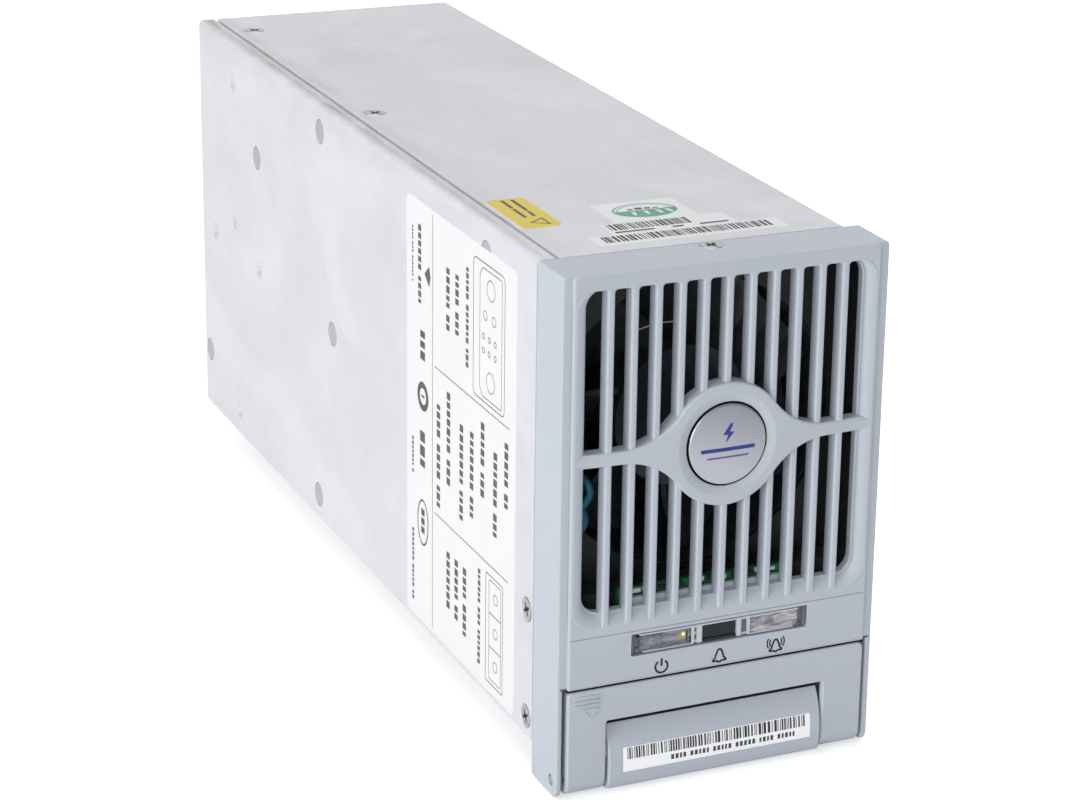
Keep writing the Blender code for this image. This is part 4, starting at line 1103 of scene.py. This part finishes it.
def handle_frame():
    """Walls behind the skin, with a hinge boss, an arm and a cross pin at each side."""
    corners = [arm_point(0, 1.7), arm_point(0, -1.7), arm_point(6.4, -1.7), arm_point(6.4, 1.7)]
    arm = fillet(corners, [0, 0, 1.5, 1.5], 6)
    parts = []
    for side in (-1, 1):
        low, high = sorted((side * 39.75, side * 37.5))
        parts.append(block((low, high), (0.2, 5.0), (HINGE_Z, 27.6), 0.3))
        parts.append(rod((low + 0.02, high + 0.03), 3.8, "x", HINGE, 40))
        parts.append(sheet([arm], (low + 0.05, high + 0.06), 0.2, 2, axis="x"))
        outer, inner = side * 38.5, side * 31.5
        pin = [(outer, 0), (outer, 0.95), (outer - side * 0.25, 1.2), (inner, 1.2), (inner, 0)]
        parts.append(lathe(pin[::-side], "x", arm_point(5.0, 0), 28))
    top = block((-39.7, 39.7), (0.4, 5.06), (26.3, 27.95), 0.3)
    return boolean(boolean(top, parts, "UNION"), hinge_bores(36.5, 41))


def handle_arrow():
    """Three short ribs above an outlined triangle that points down."""
    ribs = [sheet([fillet(rect(-38.5, -31.8, z, z + 0.66), 0.25, 3)],
                  (FACE - 0.42, FACE + 0.3), 0.2, 3) for z in (26.05, 24.95, 23.85)]
    outer = fillet([(-36.9, 23.35), (-31.6, 23.35), (-34.3, 20.3)], 0.3, 3)
    inner = [(-35.85, 22.85), (-32.7, 22.85), (-34.3, 21.0)]
    return merge(*ribs, sheet([outer, inner], (FACE - 0.32, FACE + 0.3), 0.12, 2))


piece("handle_skin", handle_skin(), "bezel_plastic", stands_for="handle", body="handle")
piece("handle_frame", handle_frame(), "bezel_plastic", body="handle")
piece("handle_arrow", handle_arrow(), "bezel_plastic", body="handle")

# --------------------------------------------------------------------- case
# name, axis, place (the two other coordinates), outer face, outward direction
SCREWS = [
    ("cover_screw_top_1", "z", (-30.7, 262.8), TOP, 1),
    ("cover_screw_top_2", "z", (-30.7, 156.9), TOP, 1),
    ("cover_screw_bottom_1", "z", (27.05, 262.8), BOTTOM, -1),
    ("cover_screw_bottom_2", "z", (27.05, 156.9), BOTTOM, -1),
    ("side_screw_left_1", "x", (19.4, 42.3), LEFT, -1),
    ("side_screw_left_2", "x", (19.4, 13.9), LEFT, -1),
    ("side_screw_right_1", "x", (19.4, 42.3), RIGHT, 1),
    ("side_screw_right_2", "x", (19.4, 13.9), RIGHT, 1),
    ("bezel_screw", "z", BEZEL_SCREW_AT, BEZEL_TOP, 1),
]
# y, z on the left side
STUDS = [(168.9, 124.6), (225.6, 102.5), (159.8, 68.6), (276.4, 27.0), (173.0, 15.8),
         (46.6, 124.4)]
DIMPLES = [(247.8, 120.1), (247.8, 77.1), (225.0, 68.3), (267.6, 68.3), (246.3, 16.4)]
# depth under the outer face, radius
SEAT_PROFILE = [(-1.0, 0), (-1.0, 3.35), (0.05, 3.35), (1.75, 1.5), (6, 1.5), (6, 0)]
SCREW_PROFILE = [(5, 0), (5, 1.05), (4.7, 1.2), (1.75, 1.2), (0.35, 2.7), (0.12, 2.82),
                 (0.04, 2.7), (0.02, 2.2), (0.01, 1.2), (0.01, 0)]
STUD_PROFILE = [(1.5, 0), (1.5, 3.4), (0.22, 3.4), (0.06, 3.2), (0.03, 2.6), (0.03, 1.1),
                (0.1, 0.9), (0.1, 0)]
DIMPLE_PROFILE = [(0.9, 0), (0.8, 1.2), (0.45, 2.2), (0.12, 2.7), (0.02, 2.84), (1.0, 2.84)]


def sunk(profile, axis, at, face, outward):
    """Turns a profile of depths under an outer face."""
    return lathe([(face - outward * depth, radius) for depth, radius in profile], axis, at, 40)


def case_outline(turned):
    """Section of one sheet; the two sheets are alike, one turned half round."""
    points = [
        (RIGHT - 6.0, BOTTOM), (LEFT, BOTTOM), (LEFT, TOP), (LEFT + 5.0, TOP),
        (LEFT + 5.75, TOP - 1.3), (LEFT + 15.6, TOP - 1.3), (LEFT + 15.6, TOP - 2.3),
        (LEFT + 5.2, TOP - 2.3), (LEFT + 4.0, TOP - 1.0), (LEFT + 1.0, TOP - 1.0),
        (LEFT + 1.0, BOTTOM + 1.0), (RIGHT - 6.0, BOTTOM + 1.0),
    ]
    if turned:
        points = [(LEFT + RIGHT - x, BOTTOM + TOP - z) for x, z in points]
    radii = [0.25, 1.5, 1.5, 0.9, 0.7, 0.25, 0.25, 0.7, 0.9, 0.5, 0.5, 0.25]
    return fillet(points, radii, 7)


def case_sheet(side, turned, more_cuts=()):
    cuts = [sunk(SEAT_PROFILE, *place) for name, *place in SCREWS
            if name.startswith(("cover_screw", "side_screw_" + side))]
    cuts += [rod((6, 12), 2.4, "z", (x, 22.0)) for x in (-28.0, 28.0)]
    shape = sheet([case_outline(turned)], (CASE_FRONT, CASE_BACK), 0.12, 1)
    return boolean(shape, cuts + list(more_cuts))


def left_cuts():
    """Holes for studs and dimples, and a fine crease along the top near the left edge."""
    holes = [rod((LEFT - 1, LEFT + 2), 3.55, "x", at, 36) for at in STUDS]
    holes += [rod((LEFT - 1, LEFT + 2), 2.85, "x", at, 36) for at in DIMPLES]
    crease = [(LEFT + 2.45, TOP + 1), (LEFT + 2.75, TOP + 1), (LEFT + 2.65, TOP - 0.16),
              (LEFT + 2.55, TOP - 0.16)]
    return merge(*holes), sheet([crease], (CASE_FRONT - 1, CASE_BACK + 1))


def left_bits(profile, places):
    return merge(*[sunk(profile, "x", at, LEFT, -1) for at in places])


piece("case_base", case_sheet("left", False, left_cuts()), "case_zinc",
      "chassis_base", angle=25)
piece("case_cover", case_sheet("right", True), "cover_zinc",
      "chassis_cover", angle=25)
piece("clinch_studs", left_bits(STUD_PROFILE, STUDS), "stud", shade="smooth")
# the dimples are pale with a painted highlight
piece("case_dimples", left_bits(DIMPLE_PROFILE, DIMPLES), "dimple",
      shade="smooth")


def screw(axis, at, face, outward):
    """Countersunk head, slightly domed, with a cross recess, on a plain shank."""
    cross = []
    for turn in (0.5, 0.5 + math.pi / 2):
        arm = block((-1.75, 1.75), (-0.34, 0.34), (-0.95, 0.6))
        bmesh.ops.rotate(arm, cent=(0, 0, 0), matrix=Matrix.Rotation(turn, 3, "Z"),
                         verts=arm.verts)
        cross.append(arm)
    hub = [(-1.2, 0), (-0.9, 0.5), (0.0, 0.85), (0.6, 0.9), (0.6, 0)]
    cross.append(lathe(hub, "z", (0, 0), 16))
    if axis == "z":
        place = Matrix.Translation((*at, face))
        if outward < 0:
            place = place @ Matrix.Rotation(math.pi, 4, "X")
    else:
        turn = Matrix.Rotation(math.pi / 2 * outward, 4, "Y")
        place = Matrix.Translation((face, *at)) @ turn
    for tool in cross:
        tool.transform(place)
    shape = boolean(sunk(SCREW_PROFILE, axis, at, face, outward), cross)
    # the faces inside the recess take the second material, dark with painted shade
    main = "xyz".index(axis)
    first, second = [i for i in range(3) if i != main]
    for polygon in shape.faces:
        centre = polygon.calc_center_median()
        depth = (face - centre[main]) * outward
        away = math.hypot(centre[first] - at[0], centre[second] - at[1])
        deepest = max((face - vert.co[main]) * outward for vert in polygon.verts)
        if 0.07 < depth < 1.3 and away < 1.85 and deepest < 1.3:
            polygon.material_index = 1
    return shape


for name, *place in SCREWS:
    piece(name + "_look", screw(*place), ("screw", "screw_recess_shade"), name,
          angle=30)


# --------------------------------------------------------------- side label
# Plain dashes where the real label has words.
# y, lower end, upper end, width, seed
TEXT_COLUMNS = [
    (58.7, 91.0, 117.6, 2.2, 1), (65.6, 97.0, 113.6, 2.9, 2), (71.8, 96.0, 113.6, 2.9, 3),
    (32.8, 63.5, 80.5, 2.95, 229), (39.8, 53.4, 75.6, 2.95, 278),
    (48.2, 60.0, 80.6, 2.95, 337), (55.3, 52.6, 75.6, 2.95, 387),
    (62.3, 48.6, 75.2, 2.95, 436), (71.2, 54.6, 80.8, 2.95, 498),
    (78.2, 46.2, 75.2, 2.95, 547),
    (49.9, 14.6, 41.0, 2.1, 5), (59.8, 18.5, 37.2, 2.9, 6), (65.5, 19.5, 37.2, 2.9, 8),
    (71.2, 20.5, 37.2, 2.9, 9), (89.6, 53.8, 64.0, 4.4, 10), (96.6, 50.0, 60.4, 1.5, 11),
    (96.5, 14.2, 34.6, 1.7, 12), (91.6, 98.5, 119.5, 2.7, 13), (96.6, 103.0, 118.0, 1.2, 14),
]


def label_lines():
    """Ruled lines and two plain connector drawings."""
    lines = stroke([(82.4, 11.5), (82.4, 124.5)], 0.28)
    for z in (84.7, 44.6):
        lines += stroke([(31.0, z), (81.0, z)], 0.28)
    # the upper connector
    lines += stroke(fillet(rect(34.4, 54.6, 86.4, 122.0), 1.6, 4), 0.3, True)
    inside = [(36.2, 87.6), (48.6, 87.6), (50.4, 89.6), (50.4, 118.6), (48.6, 120.6),
              (36.2, 120.6)]
    lines += stroke(fillet(inside, 0.6, 3), 0.26, True)
    for z in (116.0, 92.4):
        lines += stroke(circle(43.3, z, 2.6, 28), 0.26, True)
    for y in (41.3, 46.9):
        lines += stroke(circle(y, 108.8, 1.2, 18), 0.26, True)
    for z in (103.2, 99.6):
        for y in (40.4, 44.2, 48.0):
            lines += stroke(circle(y, z, 0.72, 12), 0.28, True)
    # the lower connector
    lines += stroke(fillet(rect(34.3, 45.4, 12.8, 42.0), 0.5, 3), 0.3, True)
    lines += stroke(fillet(rect(35.5, 43.2, 14.0, 40.8), 0.4, 3), 0.24, True)
    for z in (31.9, 22.8):
        lines += stroke([(35.5, z), (43.2, z)], 0.3)
    for z in (36.6, 27.4, 18.4):
        lines += stroke(circle(39.0, z, 1.35, 20), 0.26, True)
    return lines


def label_text():
    text = [dash for column in TEXT_COLUMNS for dash in words(*column)]
    diamond = [(84.8, 104.6), (88.2, 107.4), (84.8, 110.2), (83.9, 107.4)]
    return text + [fillet(diamond, 0.2, 2)]


def label_marks():
    marks = words(89.5, 81.5, 91.5, 4.2, 15)
    marks += stroke(circle(89.3, 73.7, 3.1, 32), 1.7, True)
    marks += stroke([(88.2, 73.7), (90.4, 73.7)], 0.7)
    marks += stroke(ellipse(89.3, 38.6, 3.7, 6.2, 32), 0.6, True)
    return marks + words(89.3, 35.2, 42.4, 3.0, 17)


def case_print(name, polygons, place, low, high, look):
    piece(name, printed(polygons, place, low, high), look, shade="flat")


paper = fillet(rect(27.0, 101.0, 10.2, 125.7), 2.0)
piece("side_label", sheet([[*paper]], (LEFT - 0.035, LEFT + 0.02), axis="x"), "label_paper",
      shade="flat")
case_print("side_label_lines", label_lines(), on_left, 0.03, 0.045, "soft_ink")
case_print("side_label_bars", label_text(), on_left, 0.03, 0.046, "grey_ink")
case_print("side_label_marks", label_marks(), on_left, 0.03, 0.046, "soft_ink")


# ------------------------------------------------------------- top stickers
def sticker(name, outline, radius, steps, look, high):
    shape = sheet([fillet(outline, radius, steps)], (TOP - 0.02, TOP + high), axis="z")
    piece(name, shape, look, shade="flat")


sticker("yellow_sticker", rect(-35.5, -25.3, 39.8, 65.4), 1.6, 5, "yellow_sticker", 0.035)
marks = [rect(-31.95, -31.05, 48.8, 56.5), rect(-31.95, -31.05, 57.3, 64.4),
         rect(-29.3, -28.4, 49.2, 53.5), rect(-29.3, -28.4, 54.3, 64.3)]
marks += stroke([(-31.9, 44.4), (-28.0, 47.0), (-28.0, 41.8)], 0.5, True)
case_print("yellow_sticker_marks", marks, on_top, 0.034, 0.044, "soft_ink")

# an oval emblem: ring, inner arc and filled front half, with pale and grey marks on it
OVAL_X, OVAL_Y = -1.5, 44.8
sticker("green_sticker", rect(-13.0, 9.4, 35.6, 52.8), 1.0, 4, "label_paper", 0.02)
angles = [math.pi * (1.0 + i / 24) - 0.06 + 0.12 * i / 24 for i in range(25)]
emblem = stroke(ellipse(OVAL_X, OVAL_Y, 8.2, 5.6, 48), 0.5, True)
emblem += stroke(ellipse(OVAL_X, OVAL_Y, 7.2, 4.7, 48)[:25], 0.3)
emblem.append([(OVAL_X + 8.0 * math.cos(a), OVAL_Y + 5.4 * math.sin(a)) for a in angles])
case_print("green_sticker_print", emblem, on_top, 0.02, 0.028, "green_print")
rays = []
for x in (-5.6, -2.4, 0.8, 3.4):
    foot = x + 0.75 * (x - OVAL_X) / 6
    rays.append([(x, 44.0), (x + 1.2, 44.0), (foot + 1.0, 41.2), (foot + 0.3, 41.2)])
case_print("green_sticker_pale", rays, on_top, 0.02, 0.033, "label_paper")
# left, right, back edge
HILLS = ((-5.6, -4.2, 46.6), (-3.6, -1.6, 47.2), (-1.0, 0.6, 46.8), (1.2, 2.6, 46.3))
hills = [rect(x0, x1, 45.6, y1) for x0, x1, y1 in HILLS]
case_print("green_sticker_grey", hills, on_top, 0.02, 0.033, "grey_ink")

sticker("code_label_1", rect(-17.4, 15.8, 28.1, 36.6), 0.4, 3, "label_paper", 0.034)
bars = [rect(x0, x1, 31.0, 35.9) for x0, x1 in code_bars(-16.4, 4.9, seed=21, unit=0.26)]
bars += [rect(x0, x1, 28.9, 29.9) for x0, x1 in ((-16.3, -6.0), (-1.2, 1.8), (6.2, 13.8))]
case_print("code_label_1_bars", bars, on_top, 0.034, 0.044, "ink")
sticker("code_label_2", rect(-24.0, 26.0, 20.2, 27.9), 0.4, 3, "label_paper", 0.036)
bars = [rect(x0, x1, 22.2, 26.9) for x0, x1 in code_bars(-21.6, 22.6, seed=33, unit=0.28)]
case_print("code_label_2_bars", bars, on_top, 0.036, 0.046, "ink")


# ------------------------------------------------------- seen through slots
def led_board_chips():
    """A row of small pale and dark chips along the board's upper edge."""
    pale, dark = [], []
    draw = random.Random(5)
    x = -22.5
    while x < 17.5:
        width = draw.choice((0.8, 1.0, 1.6, 2.2, 3.4))
        z = 48.9 + draw.random() * 0.5
        group = pale if draw.random() < 0.62 else dark
        top = z + 0.9 + 0.3 * draw.random()
        group.append(block((x, x + width), (4.45, 5.25), (z, top), 0.08, 1))
        x += width + draw.choice((0.5, 0.9, 1.6, 2.6))
    return merge(*pale), merge(*dark)


piece("led_board_look", block((-25.0, 19.5), (5.2, 6.8), (31.2, 50.4), 0.12), "board",
      "led_board")
pale_chips, dark_chips = led_board_chips()
piece("led_board_chips", pale_chips, "ceramic")
piece("led_board_dark_chips", dark_chips, "connector_black")

# x, y, z along the wires
CABLE_UPPER = [
    (-38.3, 15.0, 83.5), (-35.2, 11.0, 80.6), (-32.6, 8.4, 78.2), (-32.0, 7.0, 75.4),
    (-34.2, 6.4, 72.8), (-37.4, 7.4, 70.6), (-38.3, 9.5, 66.0), (-38.5, 11.5, 56.0),
    (-38.2, 11.5, 44.0), (-37.6, 11.0, 33.4),
]
CABLE_LOWER = [
    (-38.0, 15.0, 76.5), (-36.0, 11.0, 74.2), (-33.6, 8.2, 71.0), (-33.2, 7.2, 68.0),
    (-35.4, 7.6, 64.5), (-38.2, 10.2, 60.0), (-38.3, 12.8, 48.0), (-37.9, 12.8, 34.0),
]
FAN_WIRE = [(-18.4, 15.4, 111.2), (-15.6, 14.2, 112.6), (-11.6, 13.6, 113.5),
            (-7.6, 14.2, 113.3), (-5.0, 15.4, 112.4)]
piece("fan_cable_look", merge(tube(CABLE_UPPER, 1.05), tube(CABLE_LOWER, 1.05)),
      "teal_sleeve", "fan_cable", angle=60, shade="smooth")
piece("fan_wire", tube(FAN_WIRE, 0.16), "orange_wire", angle=60,
      shade="smooth")

# return springs; the real ones shorten as the latch slider rises, these keep one length
SPRING_X, SPRING_Y, SPRING_RADIUS = 17.0, 22.0, 2.55
SPRING_BOTTOM, SPRING_LENGTH = 14.38, 12.44
for side, tag in ((-1, "left"), (1, "right")):
    coil = []
    for i in range(101):
        angle = 2 * math.pi * i / 20
        coil.append((side * SPRING_X + SPRING_RADIUS * math.cos(angle),
                     SPRING_Y + SPRING_RADIUS * math.sin(angle),
                     SPRING_BOTTOM + SPRING_LENGTH * i / 100))
    spring = piece("latch_spring_" + tag + "_look", tube(coil, 0.30), "bright_steel",
                   "latch_spring_" + tag, angle=60, shade="smooth")
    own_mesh(spring)


def rear_guard():
    """Crossed black wires inside the back of the case."""
    wires = []
    for i in range(29):
        x = -8.5 + i * 1.57
        wires.append(block((x, x + 0.85), (277.2, 277.55), (15.5, 122.5), 0.08, 1))
    for i in range(67):
        z = 16.0 + i * 1.6
        wires.append(block((-8.6, 36.3), (277.5, 277.85), (z, z + 0.9), 0.08, 1))
    return merge(*wires)


piece("rear_guard", rear_guard(), "blackened_sheet", shade="smooth")

# ------------------------------------------------- looks of the CAD pieces
SLOT_LOOKS = {
    "galvanised_sheet": "rear_zinc", "bright_steel": "bright_steel",
    "black_plastic": "fan_black", "heatsink_aluminium": "heatsink",
    "circuit_board": "board", "ferrite": "ferrite", "copper_winding": "winding",
    "yellow_tape": "tape", "capacitor_sleeve": "capacitor", "teal_sleeve": "teal_sleeve",
    "insulation_film": "film", "led_green": "led_green", "led_yellow": "led_yellow",
    "led_red": "led_red", "ceramic_white": "ceramic", "bezel_plastic": "bezel_plastic",
    "badge_silver": "badge", "clear_lens": "lens_left",
}
# the fan bracket takes the black look as painted shade for the dark inside
NODE_LOOKS = {"dc_connector": "connector_black", "ac_connector": "connector_black",
              "relay": "connector_black", "fan_bracket": "blackened_sheet"}
# name starts of the pieces whose edges stay unbevelled, and whole names of others
UNBEVELLED_STARTS = ("latch_spring", "led_")
UNBEVELLED = ("pfc_choke", "output_inductor", "emi_choke", "fan_rotor")

slot_of = {part["node"]: part["material_slot"] for part in frame["record"]["subparts"]}
for node, obj in frame["nodes"].items():
    if obj.hide_render:
        continue
    look = NODE_LOOKS.get(node, SLOT_LOOKS[slot_of[node]])
    obj.data.materials.clear()
    obj.data.materials.append(LOOKS[look])
    obj.data.shade_smooth()
    obj.data.set_sharp_from_angle(angle=math.radians(35))
    if node.startswith(UNBEVELLED_STARTS) or node in UNBEVELLED:
        continue
    bevel = obj.modifiers.new("edges", "BEVEL")
    bevel.width = 0.00016
    bevel.segments = 2
    bevel.limit_method = "ANGLE"
    bevel.angle_limit = math.radians(40)
    bevel.harden_normals = True


# ---------------------------------------- floor, lights, world, camera (metres)
def floor_mesh():
    """A floor that curves up into a wall at the back."""
    section = [(-3.0, 0.0), (-1.2, 0.0)]
    for degrees in range(0, 91, 6):
        angle = math.radians(degrees)
        section.append((0.9 + 0.6 * math.sin(angle), 0.6 - 0.6 * math.cos(angle)))
    section.append((1.5, 3.0))
    drop = 0.0004
    shape = bmesh.new()
    rows = [[shape.verts.new((x, y, z - drop)) for x in (-3.5, 3.5)] for y, z in section]
    for near, far in zip(rows, rows[1:]):
        shape.faces.new((near[0], near[1], far[1], far[0]))
    mesh = to_mesh(shape, "floor")
    mesh.shade_smooth()
    return mesh


def floor_look():
    """Pale, and brighter to the camera than to the product."""
    look = Look("floor", (0.92, 0.92, 0.925), rough=0.9)
    look.vary(look.noise(scale=3, detail=2), amount=0.004)
    glow = look.math("MULTIPLY", look.node("LightPath").outputs["Is Camera Ray"], 0.5)
    look.done({"Emission Color": (1, 1, 1, 1), "Emission Strength": glow})


floor = add_object("floor", floor_mesh())
floor_look()
floor.data.materials.append(LOOKS["floor"])

# name, position, target, width and height, power in watts
LIGHTS = [
    ("key_left", (-2.1, -0.85, 0.34), (0, -0.05, 0.07), (1.1, 1.0), 20.0),
    ("key_strip", (-1.0, -1.75, 1.0), (0, -0.1, 0.07), (0.10, 0.9), 3.8),
    ("front_soft", (-0.9, -1.7, 0.38), (0, -0.1, 0.07), (0.8, 0.6), 3.6),
    ("top_soft", (0.0, 0.2, 1.7), (0, 0.0, 0.1), (1.3, 1.3), 9.0),
    ("fill_right", (2.0, 0.9, 0.7), (0, 0.0, 0.08), (1.2, 1.0), 7.0),
]
for name, position, target, size, power in LIGHTS:
    light = bpy.data.lights.new(name, "AREA")
    light.shape = "RECTANGLE"
    light.size, light.size_y = size
    light.energy = power
    lamp = add_object(name, light)
    lamp.location = position
    aim = Vector(target) - Vector(position)
    lamp.rotation_euler = aim.to_track_quat("-Z", "Y").to_euler()


def studio_world():
    """Brighter on the left, dimmer on the right and straight above."""
    world = bpy.data.worlds.new("studio")
    world.use_nodes = True
    tree = world.node_tree
    coord = add_node(tree, "TexCoord").outputs["Generated"]
    x, y, z = add_node(tree, "SeparateXYZ", Vector=coord).outputs
    level, side_change, height_change, least = 0.43, -0.22, -0.10, 0.12
    shade = add_math(tree, "ADD", level, add_math(tree, "MULTIPLY", x, side_change))
    shade = add_math(tree, "ADD", shade, add_math(tree, "MULTIPLY", z, height_change))
    shade = add_math(tree, "MAXIMUM", shade, least)
    # past the floor the backdrop is as pale as the floor
    seen = add_node(tree, "LightPath").outputs["Is Camera Ray"]
    shade = add_math(tree, "MAXIMUM", shade, seen)
    background = tree.nodes["Background"]
    background.inputs[0].default_value = (0.985, 0.99, 1.0, 1)
    plug(tree, shade, background.inputs[1])
    return world


SCENE.world = studio_world()
SCENE.view_settings.view_transform = "Standard"

camera_data = bpy.data.cameras.new("camera")
camera_data.sensor_width = 36.0
camera_data.lens = 100.9584926
camera_data.shift_x = -0.14387867647
camera_data.shift_y = -0.070064338235
camera_data.clip_start, camera_data.clip_end = 0.01, 20
camera = add_object("camera", camera_data)
# the camera's own right, up and backward directions
CAMERA_AXES = Matrix((
    (0.89980099, -0.43537646, 0.02838148),
    (0.11261506, 0.2946049, 0.94896038),
    (-0.42151633, -0.85067931, 0.31411573),
))
camera_place = Matrix.Translation((-0.30849, -0.74918, 0.34143))
camera.matrix_world = camera_place @ CAMERA_AXES.transposed().to_4x4()
SCENE.camera = camera

bpy.context.view_layer.update()
